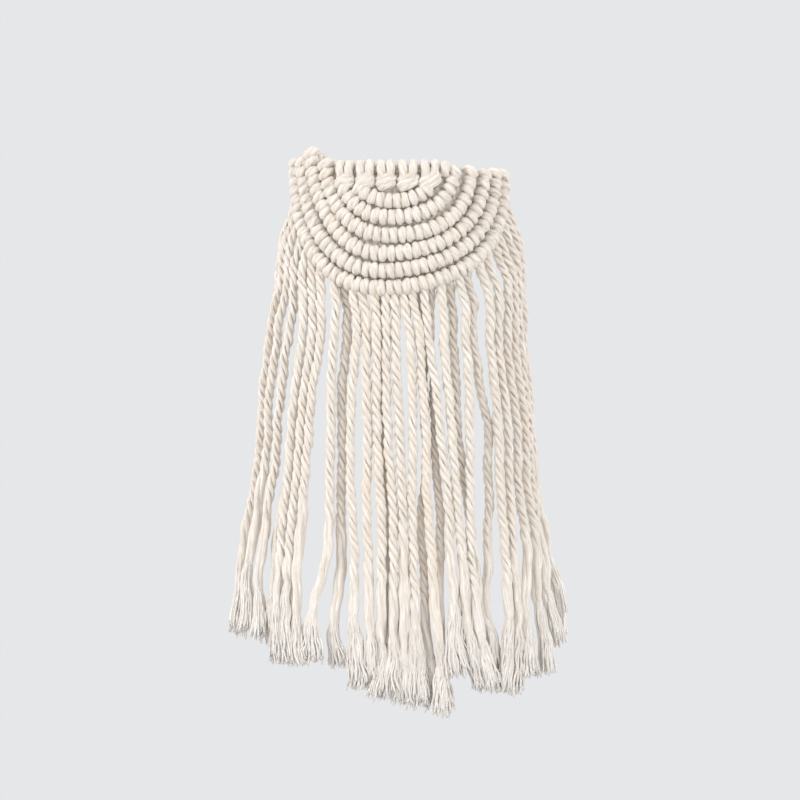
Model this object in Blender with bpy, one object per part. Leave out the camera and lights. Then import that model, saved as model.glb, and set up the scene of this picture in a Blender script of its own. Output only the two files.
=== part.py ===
"""Tieback tassel: a knotted half-moon of cotton cord with a long fringe.

The half-moon bends round the front of a hollow.  It is five curved bars of double half
hitches under a row of five lark's head knots.  A sixth bar at its rim carries the
fringe, and from each end a holding cord runs back to a loop, which holds it all up.
Lengths are in millimetres: +X right, -Y front, +Z up, and the origin is in the two
loops.  Heights in the tables are from the middle of the half-moon's top edge.
"""
import math
from collections import namedtuple

import bmesh
import bpy
import numpy as np

MM = 0.001

# The hollow that the half-moon bends round: half sizes of its section, to the middle
# of the panel's thickness, and where the hollow and the top edge lie from the loops.
BAND_HALF_WIDTH = 48.3
BAND_HALF_DEPTH = 35.0
BAND_SQUARENESS = 2.3
HOLLOW_MIDDLE_Y = -47.0
TOP_EDGE = 8.0

# The knotting cord and the bars that it makes.
WRAP = 3.75            # one turn of cord along a bar
BAR_HALF_WIDTH = 3.75
GAP = 0.3              # between two pieces that meet
BAR_PITCH = 2.0 * BAR_HALF_WIDTH + GAP
WRAP_PROUD = 3.85      # of the middle of a wrap, out from the middle of the panel
SHOULDER_PROUD = 2.9
VALLEY_PROUD = 1.1
BETWEEN_WRAPS = 0.9    # how much lower the bar is between two wraps
SHOULDER_SHARE = 0.62  # of the way from a bar's middle to the valley beside it
BACK_PROUD = -3.6
BACK_VALLEY_PROUD = -1.9
BACK_STEP = 7.5
LOWER_EDGE = 0.45      # of the last valley, in from the bar's lower edge
RIM_RISE = 1.2         # of the round top edge above the rows' ends

# Height of the top edge, by the distance round the band from its front middle.
Rim = namedtuple("Rim", "run height")
RIM = [
    Rim(-66.0, -2.0), Rim(-57.0, -2.0), Rim(-49.0, 2.2), Rim(-43.5, 6.2),
    Rim(-40.5, 6.6), Rim(-36.5, 1.8), Rim(-30.0, -0.2), Rim(0.0, 0.0),
    Rim(18.0, 0.0), Rim(30.0, -1.5), Rim(38.0, -2.5), Rim(47.0, -2.2),
    Rim(52.0, -2.5), Rim(66.0, -4.0),
]

# The five bars.  Each is two quarters of a superellipse, from the top edge on the left
# to its lowest place and up to the top edge on the right.  first and last are the runs
# between which the bar shows: the two smallest begin or end under the lark's heads.
# The line is then rounded off, so that its two quarters meet without a corner.
Arc = namedtuple("Arc", "lowest left right drop left_bow right_bow first last")
FAR = 99.0
LINE_STEP = 1.0
FINE_STEP = 0.5
ROUNDING = 9
QUARTER_STEPS = 90
ARCS = [
    Arc(-4.5, 21.0, 23.0, 18.2, 1.80, 2.25, -20.5, 15.0),
    Arc(-9.0, 20.0, 34.0, 25.2, 1.85, 2.70, -28.0, FAR),
    Arc(-8.0, 27.0, 41.0, 33.5, 1.95, 2.50, -FAR, FAR),
    Arc(-12.5, 30.7, 53.0, 41.8, 1.70, 2.35, -FAR, FAR),
    Arc(-11.0, 38.0, 59.0, 49.6, 1.90, 2.20, -FAR, FAR),
]

# The valley round the lark's heads, and the slits between them.
Spot = namedtuple("Spot", "run height")
HEADS_VALLEY = [
    Spot(-31.0, -7.5), Spot(-30.2, -12.5), Spot(-24.0, -14.1), Spot(-10.0, -14.5),
    Spot(4.0, -13.9), Spot(12.5, -12.1), Spot(16.6, -8.5),
]
HEADS_LEFT_RUN = -31.0
HEADS_RIGHT_RUN = 17.4
HEAD_SLITS = [-30.0, -20.2, -11.2, -1.6, 8.3, 16.2]
Band = namedtuple("Band", "height proud slit_proud inset")
HEAD_ROWS = [Band(-9.7, 4.3, 1.6, 0.7), Band(-4.1, 3.9, 1.4, 1.5)]
HEAD_TOP_INSET = 2.4
HEAD_SHARES = (0.14, 0.5, 0.86)   # where a head's points lie between two slits
HEAD_SIDE_DROP = 0.5   # how much lower a head is at its two sides
HEAD_EDGE = 0.2
HEAD_TOP_POINTS = 21   # along the heads' top edge, with a slit at every fourth
HEAD_TOP_PROUD = 2.6
HEAD_TOP_SLIT_PROUD = 1.0
BACK_TOP_POINTS = 6
BACK_TOP_PROUD = -2.4

# The fringe: how far out it hangs, by height.
Skirt = namedtuple("Skirt", "height left right half_depth")
SKIRT = [
    Skirt(7.5, 48.6, 48.6, 35.5), Skirt(-14.5, 50.4, 50.4, 36.2),
    Skirt(-24.0, 52.0, 53.0, 36.6), Skirt(-44.5, 55.3, 55.7, 37.0),
    Skirt(-62.5, 57.1, 56.6, 37.5), Skirt(-80.5, 59.4, 56.9, 38.5),
    Skirt(-99.5, 62.6, 59.0, 39.5), Skirt(-126.5, 64.0, 60.9, 41.5),
    Skirt(-144.5, 66.4, 61.8, 43.0), Skirt(-171.5, 71.6, 66.8, 45.5),
    Skirt(-208.5, 75.3, 75.5, 48.0), Skirt(-254.5, 77.0, 77.0, 50.0),
]
BAR_BETWEEN = 0.82     # width of the fringe's bar between two wraps, of its full one
BAR_END = 0.6          # and at its two ends
CORD_RADIUS = 2.1      # half the room that each hanging cord takes
LOCK_RADIUS = 2.5      # the same at its untwisted lower end
UNTWIST_TOP = -154.5
UNTWIST_BOTTOM = -219.5
STRAND_HALF = 1.9      # half the diagonal of a strand's square section
LOCK_HALF = 2.3
TIP_SHARE = 0.75
LAYER = 4.3            # how far a cord that hangs behind another is set in
LEVELS = (-80.5, -126.5, -171.5, -208.5)
SLICE = 3.0            # height between two places where the cords are kept apart
STRAND_EVERY = 6       # slices from one ring of a strand to the next, past the first
ROOTS_FROM_RUN = -5.5  # the place on the bar that the roots are measured from
ROOT_SPACING = 3.0
ROOT_OUT = 3.8         # from the bar's middle to where a cord is clear of it
ROOT_FALL = 3.0        # the least that a cord falls on that way
SETTLE_FALL = 16.0     # over which a cord spreads from the bar to the fringe's section
SHIFT_KEPT = 0.95      # of the way that a cord was pushed aside at the slice above
PUSH = 0.25            # of the way that is short, in each round of pushing apart
PUSH_ROUNDS = 60
ROOT_ROUNDS = 200
HARDLY = 1e-9          # keeps a distance from being nothing

# One row for each hanging cord: where it leaves the bar, measured along the bar; where
# it hangs at the four levels and at its tip; the height of the tip; how many cords lie
# over it; and whether it hangs behind the widest place.
Cord = namedtuple("Cord", "along x1 x2 x3 x4 tip_x tip_z under behind")
CORDS = [
    Cord(-71.0, -58.9, -63.5, -71.0, -74.7, -74.8, -214.5, 0, 1),
    Cord(-66.5, -59.4, -64.0, -71.6, -75.3, -76.0, -212.5, 0, 0),
    Cord(-61.5, -56.0, -60.5, -67.5, -71.0, -71.0, -212.5, 0, 0),
    Cord(-56.5, -51.0, -56.0, -62.5, -65.5, -64.5, -214.5, 0, 0),
    Cord(-51.5, -47.5, -52.0, -59.0, -61.0, -60.0, -217.5, 1, 0),
    Cord(-46.0, -44.0, -49.5, -54.0, -56.0, -55.5, -224.5, 0, 0),
    Cord(-41.0, -40.5, -45.5, -50.0, -52.0, -51.0, -226.5, 0, 0),
    Cord(-34.5, -37.0, -42.5, -46.0, -47.5, -45.5, -226.5, 0, 0),
    Cord(-25.0, -30.0, -31.5, -32.5, -40.0, -41.0, -225.0, 0, 0),
    Cord(-20.5, -25.5, -27.5, -27.5, -30.0, -28.5, -227.5, 1, 0),
    Cord(-14.5, -19.5, -22.5, -21.0, -20.5, -19.0, -236.5, 0, 0),
    Cord(-11.0, -15.5, -15.0, -15.0, -13.0, -11.0, -233.5, 0, 0),
    Cord(-5.0, -10.0, -10.0, -8.0, -9.0, -12.5, -241.0, 0, 0),
    Cord(-2.5, -8.0, -7.5, -6.5, -5.5, -7.5, -240.0, 1, 0),
    Cord(-1.0, -6.5, -5.5, -2.0, -1.5, -1.5, -239.0, 0, 0),
    Cord(4.0, -2.0, 0.0, 1.5, 2.0, 1.0, -244.0, 0, 0),
    Cord(10.0, 5.0, 6.0, 5.0, 5.5, 6.5, -245.0, 0, 0),
    Cord(12.5, 8.5, 11.5, 13.5, 17.0, 20.0, -248.5, 0, 0),
    Cord(14.0, 10.0, 13.5, 10.5, 12.5, 17.0, -246.0, 1, 0),
    Cord(16.5, 13.0, 19.0, 23.0, 24.0, 29.0, -231.0, 0, 0),
    Cord(19.0, 14.0, 15.5, 18.5, 17.5, 21.5, -246.5, 1, 0),
    Cord(24.0, 20.0, 24.0, 27.5, 31.5, 44.0, -237.0, 0, 0),
    Cord(30.0, 25.0, 28.0, 34.5, 38.0, 41.5, -238.0, 1, 0),
    Cord(33.0, 30.0, 32.0, 32.0, 34.5, 37.5, -238.5, 0, 0),
    Cord(40.0, 35.0, 42.5, 42.0, 39.0, 45.0, -231.0, 1, 0),
    Cord(45.0, 41.0, 45.0, 47.5, 50.5, 48.5, -239.5, 0, 0),
    Cord(51.5, 44.5, 49.5, 51.0, 53.0, 52.5, -239.5, 0, 0),
    Cord(58.0, 49.0, 53.5, 57.0, 58.0, 58.5, -232.0, 0, 0),
    Cord(64.5, 52.5, 57.5, 61.5, 64.5, 66.5, -231.0, 0, 0),
    Cord(71.0, 55.0, 59.5, 64.0, 69.5, 72.0, -218.0, 0, 0),
    Cord(77.0, 56.9, 60.9, 66.8, 75.0, 77.5, -204.5, 0, 0),
    Cord(82.0, 56.4, 60.4, 66.2, 74.0, 74.5, -216.5, 0, 1),
]

# The holding cord's two ends.  Places here are from the origin, in the loops.
HOLD_RADIUS = 3.4
HOLD_STEP = 4.0
HOLD_TWIST = math.radians(35.0)
HOLD_HOLLOW = 0.84     # reach of a twisted cord's hollows, of its radius
HOLD_START_RUN = 59.9
HOLD_START_PROUD = -2.5
Place = namedtuple("Place", "x y z")
HOLD_ROUTE = [
    Place(-46.0, -43.0, 3.0), Place(-45.2, -33.0, 2.9), Place(-42.4, -23.0, 2.5),
    Place(-37.4, -14.5, 1.7), Place(-31.0, -8.6, 0.9), Place(-24.0, -5.6, 0.3),
    Place(-19.0, -4.6, 0.0),
]
HOLD_ROUTE_RIGHT = [
    Place(46.0, -42.5, 3.0), Place(45.4, -32.0, 2.9), Place(42.8, -20.5, 2.4),
    Place(37.8, -10.5, 1.5), Place(31.0, -2.6, 0.8), Place(24.0, 2.4, 0.3),
    Place(19.0, 4.4, 0.0),
]
BINDING_RADIUS = 4.2
BINDING_TURNS = 4
BINDING_PITCH = 2.6
BINDING_HOLLOW = 0.86
BINDING_OVERLAP = 0.3  # of the cord's last two steps, under the binding
LOOP_CORD_RADIUS = 1.9
LOOP_HALF_HEIGHT = 8.6
LOOP_LENGTH = 11.0
LOOP_NECK = 1.5        # how much further the loop reaches towards its binding
LOOP_PINCH = 0.55      # how much lower it is there
LOOP_SIDES = 6
LOOP_STEPS = 20

COTTON = (0.86, 0.80, 0.71, 1.0)


def section_point(turn, half_width, half_depth, proud=0.0):
    """Point of the hollow's section at a turn from the front middle, and proud of it."""
    power = 2.0 / BAND_SQUARENESS
    sine, cosine = math.sin(turn), math.cos(turn)
    x = half_width * math.copysign(abs(sine) ** power, sine)
    y = -half_depth * math.copysign(abs(cosine) ** power, cosine)
    slope = BAND_SQUARENESS - 1.0
    normal_x = math.copysign(abs(x / half_width) ** slope / half_width, x)
    normal_y = math.copysign(abs(y / half_depth) ** slope / half_depth, y)
    length = math.hypot(normal_x, normal_y)
    return (x + proud * normal_x / length, y + proud * normal_y / length)


TURNS = np.linspace(0.0, math.pi, 1441)
OUTLINE = np.array([section_point(t, BAND_HALF_WIDTH, BAND_HALF_DEPTH) for t in TURNS])
STEPS = np.hypot(*np.diff(OUTLINE, axis=0).T)
RUNS = np.concatenate([[0.0], np.cumsum(STEPS)])


def turn_of(run):
    """Turn from the front middle, for a distance round the band."""
    return math.copysign(float(np.interp(abs(run), RUNS, TURNS)), run)


def on_band(run, height, proud):
    """Point at a run and a height, proud of the middle of the panel's thickness."""
    x, y = section_point(turn_of(run), BAND_HALF_WIDTH, BAND_HALF_DEPTH, proud)
    return (x, y + HOLLOW_MIDDLE_Y, height + TOP_EDGE)


def smooth(knots, values, place):
    """Smooth curve through values at increasing knots, with no overshoot."""
    knots, values = np.asarray(knots, float), np.asarray(values, float)
    place = min(max(place, knots[0]), knots[-1])
    rates = np.diff(values) / np.diff(knots)
    slopes = np.concatenate([rates[:1], np.zeros(len(rates) - 1), rates[-1:]])
    for k, (before, after) in enumerate(zip(rates, rates[1:])):
        if before * after > 0.0:
            slopes[k + 1] = 2.0 * before * after / (before + after)
    i = min(int(np.searchsorted(knots, place, side="right")) - 1, len(knots) - 2)
    width = knots[i + 1] - knots[i]
    t = (place - knots[i]) / width
    start = (1 + 2 * t) * (1 - t) ** 2 * values[i] + t * t * (3 - 2 * t) * values[i + 1]
    lean = t * (1 - t) ** 2 * slopes[i] - t * t * (1 - t) * slopes[i + 1]
    return start + width * lean


def rim_height(run):
    """Height of the top edge at a run."""
    return smooth([r.run for r in RIM], [r.height for r in RIM], run)


def arc_line(arc):
    """Middle line of a bar, as rows of run and height, from left to right."""
    line = []
    for side, reach, bow in ((-1, arc.left, arc.left_bow), (1, arc.right, arc.right_bow)):
        top = rim_height(arc.lowest + side * reach)
        drop = top + arc.drop
        quarter = []
        for i in range(QUARTER_STEPS + 1):
            angle = 0.5 * math.pi * i / QUARTER_STEPS
            run = arc.lowest + side * reach * math.sin(angle) ** (2.0 / bow)
            height = top - drop * max(math.cos(angle), 0.0) ** (2.0 / bow)
            quarter.append((run, height))
        line += quarter[::-1] if side < 0 else quarter[1:]
    return rounded(even(np.array(line), LINE_STEP))


def rounded(line):
    """The line with each point at the mean of its neighbours, the ends kept."""
    last = len(line) - 1
    spans = [min(ROUNDING, i, last - i) for i in range(len(line))]
    return np.array([line[i - n:i + n + 1].mean(axis=0) for i, n in enumerate(spans)])


def lengths_of(line):
    """Distance along a line to each of its points."""
    return np.concatenate([[0.0], np.cumsum(np.hypot(*np.diff(line, axis=0).T))])


def read_line(line, distances):
    """Points of a line at given distances along it."""
    along = lengths_of(line)
    return np.stack([np.interp(distances, along, line[:, k]) for k in (0, 1)], axis=1)


def even(line, step):
    """The same line with points about one step apart."""
    total = lengths_of(line)[-1]
    count = max(2, int(round(total / step)))
    return read_line(line, np.linspace(0.0, total, count + 1))


def outward(line):
    """Unit normals of a line in run and height, away from the half-moon's middle."""
    tangent = np.gradient(line, axis=0)
    tangent /= np.linalg.norm(tangent, axis=1)[:, None]
    return np.stack([tangent[:, 1], -tangent[:, 0]], axis=1)


def offset(line, across):
    """The line moved outward by a distance."""
    return line + across * outward(line)


def toward(line, other, share):
    """Each point of a line moved a share of the way to the nearest point of another."""
    spread = np.linalg.norm(line[:, None] - other[None], axis=2)
    return line + share * (other[spread.argmin(axis=1)] - line)


class Sheet:
    """Rows of vertices on one face of the panel, laced together from row to row."""

    def __init__(self, mesh):
        self.mesh = mesh
        self.place = {}
        self.rows = []

    def vertex(self, run, height, proud):
        vert = self.mesh.verts.new(on_band(run, height, proud))
        self.place[vert] = run
        return vert

    def add(self, points, prouds, inner=None, first=-FAR, last=FAR):
        """Add a row.  Outside first and last it follows the inner row."""
        own = [(p, h) for p, h in zip(points, prouds) if first + 1.0 < p[0] < last]
        row = [self.vertex(*p, h) for p, h in own]
        if first > -FAR:
            start = next(i for i, v in enumerate(inner) if self.place[v] >= first)
            row = inner[:start + 1] + row
        if last < FAR:
            end = next(i for i, v in enumerate(inner) if self.place[v] >= last)
            row += inner[end:]
        self.rows.append(row)
        return row

    def lace_all(self):
        for inner, outer in zip(self.rows, self.rows[1:]):
            lace(self.mesh, inner, outer)

    def ends(self, index):
        """The rows' first (0) or last (-1) vertices, from the inner row outward."""
        found = []
        for row in self.rows:
            if not found or found[-1] is not row[index]:
                found.append(row[index])
        return found


def lace(mesh, inner, outer):
    """Join two rows of unlike counts with triangles across the shorter diagonal."""
    while inner[:2] == outer[:2]:
        inner, outer = inner[1:], outer[1:]
    while inner[-2:] == outer[-2:]:
        inner, outer = inner[:-1], outer[:-1]
    if inner[0] is outer[0]:
        mesh.faces.new((inner[0], outer[1], inner[1]))
        inner, outer = inner[1:], outer[1:]
    if inner[-1] is outer[-1]:
        mesh.faces.new((inner[-1], inner[-2], outer[-2]))
        inner, outer = inner[:-1], outer[:-1]
    i = j = 0
    while i < len(inner) - 1 or j < len(outer) - 1:
        here, there = inner[i], outer[j]
        step_inner = i < len(inner) - 1
        if step_inner and j < len(outer) - 1:
            across = (inner[i + 1].co - there.co).length
            step_inner = across <= (outer[j + 1].co - here.co).length
        ahead = inner[i + 1] if step_inner else outer[j + 1]
        mesh.faces.new((here, there, ahead))
        i, j = (i + 1, j) if step_inner else (i, j + 1)


def heads_outline():
    """Line round the lark's heads: down on the left, along below, up on the right."""
    spots = [(HEADS_LEFT_RUN, rim_height(HEADS_LEFT_RUN))]
    spots += [(s.run, s.height) for s in HEADS_VALLEY]
    spots.append((HEADS_RIGHT_RUN, rim_height(HEADS_RIGHT_RUN)))
    return np.array(spots, float)


def head_row(band):
    """One row over the five lark's heads: three points on each head, one in each slit."""
    left = HEADS_LEFT_RUN + band.inset
    right = HEADS_RIGHT_RUN - band.inset
    points = [(left, rim_height(left))]
    prouds = [VALLEY_PROUD + band.inset]
    runs = [left + HEAD_EDGE] + HEAD_SLITS[1:-1] + [right - HEAD_EDGE]
    for index, (start, end) in enumerate(zip(runs, runs[1:])):
        if index:
            points.append((start, band.height))
            prouds.append(band.slit_proud)
        for place, share in enumerate(HEAD_SHARES):
            points.append((start + share * (end - start), band.height))
            prouds.append(band.proud if place == 1 else band.proud - HEAD_SIDE_DROP)
    points.append((right, rim_height(right)))
    prouds.append(VALLEY_PROUD + band.inset)
    return points, prouds


def front_face(mesh, lines):
    """The panel's front: lark's heads, then each bar's shoulders, middle and valley."""
    front = Sheet(mesh)
    left = HEADS_LEFT_RUN + HEAD_TOP_INSET
    right = HEADS_RIGHT_RUN - HEAD_TOP_INSET
    tops = [(run, rim_height(run)) for run in np.linspace(left, right, HEAD_TOP_POINTS)]
    slits = {place for place in range(0, HEAD_TOP_POINTS, 4)}
    front.add(tops, [HEAD_TOP_SLIT_PROUD if i in slits else HEAD_TOP_PROUD
                     for i in range(HEAD_TOP_POINTS)])
    for band in reversed(HEAD_ROWS):
        front.add(*head_row(band))
    valley_line = even(heads_outline(), WRAP)
    valley = front.add(valley_line, [VALLEY_PROUD] * len(valley_line))
    for arc, line, inner_line, outer_line in lines:
        middle = even(line, WRAP / 2)
        dips = [BETWEEN_WRAPS if i % 2 == 0 else 0.0 for i in range(len(middle))]
        crest = [WRAP_PROUD - d for d in dips]
        shoulder = [SHOULDER_PROUD - d for d in dips]
        limits = dict(inner=valley, first=arc.first, last=arc.last)
        front.add(toward(middle, inner_line, SHOULDER_SHARE), shoulder, **limits)
        front.add(middle, crest, **limits)
        front.add(toward(middle, outer_line, SHOULDER_SHARE), shoulder, **limits)
        limits["last"] = FAR
        outer = even(outer_line, WRAP)
        valley = front.add(outer, [VALLEY_PROUD] * len(outer), **limits)
    front.lace_all()
    return front


def back_face(mesh, lines):
    """The panel's plain back: each bar's middle and the valley beside it."""
    back = Sheet(mesh)
    left = HEADS_LEFT_RUN + HEAD_TOP_INSET
    right = HEADS_RIGHT_RUN - HEAD_TOP_INSET
    tops = [(run, rim_height(run)) for run in np.linspace(left, right, BACK_TOP_POINTS)]
    back.add(tops, [BACK_TOP_PROUD] * BACK_TOP_POINTS)
    valley_line = even(heads_outline(), BACK_STEP)
    valley = back.add(valley_line, [BACK_VALLEY_PROUD] * len(valley_line))
    for arc, line, _inner_line, outer_line in lines:
        middle = even(line, BACK_STEP)
        limits = dict(inner=valley, first=arc.first, last=arc.last)
        back.add(middle, [BACK_PROUD] * len(middle), **limits)
        limits["last"] = FAR
        outer = even(outer_line, BACK_STEP)
        valley = back.add(outer, [BACK_VALLEY_PROUD] * len(outer), **limits)
    back.lace_all()
    return back


def bar_lines():
    """Each bar with its middle line and the valley lines inside and outside it."""
    middles = [arc_line(arc) for arc in ARCS]
    heads = even(heads_outline(), FINE_STEP)
    valleys = [heads]
    for index, (inner, outer) in enumerate(zip(middles, middles[1:])):
        shown = inner[(inner[:, 0] > ARCS[index].first) & (inner[:, 0] < ARCS[index].last)]
        inside = np.concatenate([shown, heads]) if index < 2 else inner
        valleys.append(toward(even(outer, FINE_STEP), inside, 0.5))
    valleys.append(offset(middles[-1], BAR_HALF_WIDTH - LOWER_EDGE))
    return list(zip(ARCS, middles, valleys, valleys[1:]))


def knotted_panel():
    """The half-moon: one closed sheet, ridged by its bars and the wraps on them."""
    mesh = bmesh.new()
    lines = bar_lines()
    front, back = front_face(mesh, lines), back_face(mesh, lines)
    front_top = front.ends(0)[::-1] + front.rows[0][1:-1] + front.ends(-1)
    back_top = back.ends(0)[::-1] + back.rows[0][1:-1] + back.ends(-1)
    middle_top = []
    for vert in front_top:
        run = front.place[vert]
        middle_top.append(mesh.verts.new(on_band(run, rim_height(run) + RIM_RISE, 0.0)))
    lace(mesh, front_top, middle_top)
    lace(mesh, middle_top, back_top)
    under = even(offset(arc_line(ARCS[-1]), BAR_HALF_WIDTH), WRAP)
    middle_under = [mesh.verts.new(on_band(*p, 0.0)) for p in under[1:-1]]
    middle_under = [middle_top[0]] + middle_under + [middle_top[-1]]
    lace(mesh, front.rows[-1], middle_under)
    lace(mesh, middle_under, back.rows[-1])
    return mesh


def tube(mesh, centres, ring_at, closed=False):
    """Bridge rings of vertices along a path.  ring_at(i) gives the points of ring i."""
    rings = [[mesh.verts.new(p) for p in ring_at(i)] for i in range(len(centres))]
    pairs = list(zip(rings, rings[1:])) + ([(rings[-1], rings[0])] if closed else [])
    for ring, after in pairs:
        for k, vert in enumerate(ring):
            beside = (k + 1) % len(ring)
            mesh.faces.new((vert, ring[beside], after[beside], after[k]))
    if not closed:
        mesh.faces.new(rings[0][::-1])
        mesh.faces.new(rings[-1])


def fringe_bar_line():
    """Middle line of the sixth bar, just outside the fifth."""
    return even(offset(arc_line(ARCS[-1]), BAR_PITCH), WRAP / 2)


def fringe_bar(mesh, sides=6):
    """The sixth bar: a tube along the half-moon's rim, swollen at each wrap."""
    line = fringe_bar_line()
    normals = outward(line)

    def ring_at(i):
        swell = 1.0 if i % 2 else BAR_BETWEEN
        if i in (0, len(line) - 1):
            swell = BAR_END
        points = []
        for k in range(sides):
            angle = 2.0 * math.pi * k / sides
            across = BAR_HALF_WIDTH * swell * math.cos(angle)
            proud = WRAP_PROUD * swell * math.sin(angle)
            run, height = line[i] + across * normals[i]
            points.append(on_band(run, height, proud))
        return points

    tube(mesh, line, ring_at)


def skirt_at(height, side):
    """Half width on one side, and half depth, of the fringe at a height."""
    knots = [-s.height for s in SKIRT]
    wide = np.interp(-height, knots, [s.left if side < 0 else s.right for s in SKIRT])
    return float(wide), float(np.interp(-height, knots, [s.half_depth for s in SKIRT]))


def turn_at(x, height, behind):
    """Turn at which a cord hangs, from its place across the front."""
    wide, _deep = skirt_at(height, x)
    turn = math.asin(min(abs(x) / wide, 1.0) ** (BAND_SQUARENESS / 2.0))
    return math.copysign(math.pi - turn if behind else turn, x)


def spread_roots():
    """Places of the cords along the bar, moved so that none are too close."""
    places = np.array([c.along for c in CORDS], float)
    for _ in range(ROOT_ROUNDS):
        short = np.maximum(ROOT_SPACING - np.diff(places), 0.0) / 2.0
        places[:-1] -= short
        places[1:] += short
    return places


Route = namedtuple("Route", "root falls turns prouds")


def cord_route(cord, along, bar):
    """A cord's turns and depths by how far it has fallen from the top edge.

    On the left the cords fall straight from the bar, and on the right they swing out.
    """
    lengths = lengths_of(bar)
    middle = lengths[int(np.abs(bar[:, 0] - ROOTS_FROM_RUN).argmin())]
    index = int(np.abs(lengths - middle - along).argmin())
    run, height = bar[index]
    out_run, out_height = outward(bar)[index]
    exit_fall = max(ROOT_OUT * -out_height, ROOT_FALL) - height
    falls = [-height, exit_fall]
    turns = [turn_of(run), turn_of(run + ROOT_OUT * out_run * abs(out_run))]
    inset = -LAYER * cord.under
    prouds = [0.0, inset]
    if cord.x1 < 0.0 and not cord.behind:
        exit_x, _y = section_point(turns[1], BAND_HALF_WIDTH, BAND_HALF_DEPTH)
        falls.append(0.5 * (exit_fall - LEVELS[0]))
        turns.append(turn_at(0.5 * (exit_x + cord.x1), -falls[-1], cord.behind))
        prouds.append(inset)
    for level, x in zip(LEVELS, (cord.x1, cord.x2, cord.x3, cord.x4)):
        if level > cord.tip_z:
            falls.append(-level)
            turns.append(turn_at(x, level, cord.behind))
            prouds.append(inset)
    falls.append(-cord.tip_z)
    turns.append(turn_at(cord.tip_x, cord.tip_z, cord.behind))
    prouds.append(inset)
    return Route(on_band(run, height, 0.0), falls, turns, prouds)


def room_at(height):
    """Half the room that a cord takes at a height."""
    share = (UNTWIST_TOP - height) / (UNTWIST_TOP - UNTWIST_BOTTOM)
    return CORD_RADIUS + (LOCK_RADIUS - CORD_RADIUS) * min(max(share, 0.0), 1.0)


def spot_of(route, fall):
    """Where a route means to be at a fall, before the cords are kept apart."""
    turn = smooth(route.falls, route.turns, fall)
    settled = min((fall - route.falls[1]) / SETTLE_FALL, 1.0)
    wide, deep = skirt_at(-fall, turn)
    wide = BAND_HALF_WIDTH + settled * (wide - BAND_HALF_WIDTH)
    deep = BAND_HALF_DEPTH + settled * (deep - BAND_HALF_DEPTH)
    proud = float(np.interp(fall, route.falls, route.prouds))
    x, y = section_point(turn, wide, deep, proud)
    return (x, y + HOLLOW_MIDDLE_Y)


def hanging_cords():
    """Path of every cord, with the cords kept apart at each slice of height."""
    bar = fringe_bar_line()
    routes = [cord_route(c, a, bar) for c, a in zip(CORDS, spread_roots())]
    paths = [[route.root] for route in routes]
    shift = np.zeros((len(CORDS), 2))
    for fall in np.arange(SLICE, max(r.falls[-1] for r in routes) + SLICE, SLICE):
        here = [i for i, r in enumerate(routes) if r.falls[1] <= fall < r.falls[-1] + SLICE]
        if not here:
            continue
        falls = [min(fall, routes[i].falls[-1]) for i in here]
        goals = np.array([spot_of(routes[i], f) for i, f in zip(here, falls)])
        places = keep_apart(goals + SHIFT_KEPT * shift[here], room_at(-fall))
        shift[here] = places - goals
        for i, f, (x, y) in zip(here, falls, places):
            paths[i].append((x, y, TOP_EDGE - f))
    return paths


def keep_apart(places, room):
    """Push places that are closer than twice the room away from each other."""
    places = places.copy()
    for _ in range(PUSH_ROUNDS):
        between = places[:, None] - places[None]
        distance = np.linalg.norm(between, axis=2) + HARDLY
        short = np.maximum(2.0 * room - distance, 0.0)
        np.fill_diagonal(short, 0.0)
        places += PUSH * (between / distance[..., None] * short[..., None]).sum(axis=1)
    return places


def strand(mesh, path):
    """One hanging cord as a square strand, a little wider towards its tip."""
    picked = path[:2] + path[2:-1:STRAND_EVERY] + path[-1:]
    if picked[-2][2] - picked[-1][2] < SLICE:
        picked.pop(-2)

    def ring_at(i):
        x, y, z = picked[i]
        grown = (room_at(z - TOP_EDGE) - CORD_RADIUS) / (LOCK_RADIUS - CORD_RADIUS)
        half = STRAND_HALF + (LOCK_HALF - STRAND_HALF) * grown
        if i == len(picked) - 1:
            half *= TIP_SHARE
        around = [0.25 * math.tau * k for k in range(4)]
        return [(x + half * math.cos(a), y + half * math.sin(a), z) for a in around]

    tube(mesh, picked, ring_at)


def rope(mesh, route, side, sides=6):
    """A twisted cord along a route of places: each ring is turned past the last."""
    start = on_band(side * HOLD_START_RUN, route[0].z - TOP_EDGE, HOLD_START_PROUD)
    points = np.array([start] + list(route), float)
    along = np.concatenate([[0.0], np.cumsum(np.linalg.norm(np.diff(points, axis=0), axis=1))])
    count = int(round(along[-1] / HOLD_STEP))
    reads = np.linspace(0.0, along[-1], count + 1)
    path = np.array([[smooth(along, points[:, k], r) for k in range(3)] for r in reads])

    def ring_at(i):
        ahead = path[min(i + 1, count)] - path[max(i - 1, 0)]
        ahead /= np.linalg.norm(ahead)
        across = np.cross(ahead, (0.0, 0.0, 1.0))
        across /= np.linalg.norm(across)
        up = np.cross(across, ahead)
        points = []
        for k in range(sides):
            angle = math.tau * k / sides + HOLD_TWIST * i
            reach = HOLD_RADIUS * (1.0 if k % 2 else HOLD_HOLLOW)
            spot = path[i] + reach * (math.cos(angle) * across + math.sin(angle) * up)
            points.append(tuple(spot))
        return points

    tube(mesh, path, ring_at)
    return path


def binding(mesh, start, ahead, sides=8):
    """The wrapped binding that closes a loop: a short ribbed barrel."""
    ahead = np.array(ahead, float) / np.linalg.norm(ahead)
    across = np.cross(ahead, (0.0, 0.0, 1.0))
    across /= np.linalg.norm(across)
    up = np.cross(across, ahead)
    rings = 2 * BINDING_TURNS + 1

    def ring_at(i):
        reach = BINDING_RADIUS * (1.0 if i % 2 else BINDING_HOLLOW)
        centre = np.array(start, float) + ahead * BINDING_PITCH * i / 2.0
        around = [math.tau * k / sides for k in range(sides)]
        return [tuple(centre + reach * (math.cos(a) * across + math.sin(a) * up)) for a in around]

    tube(mesh, range(rings), ring_at)


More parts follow.
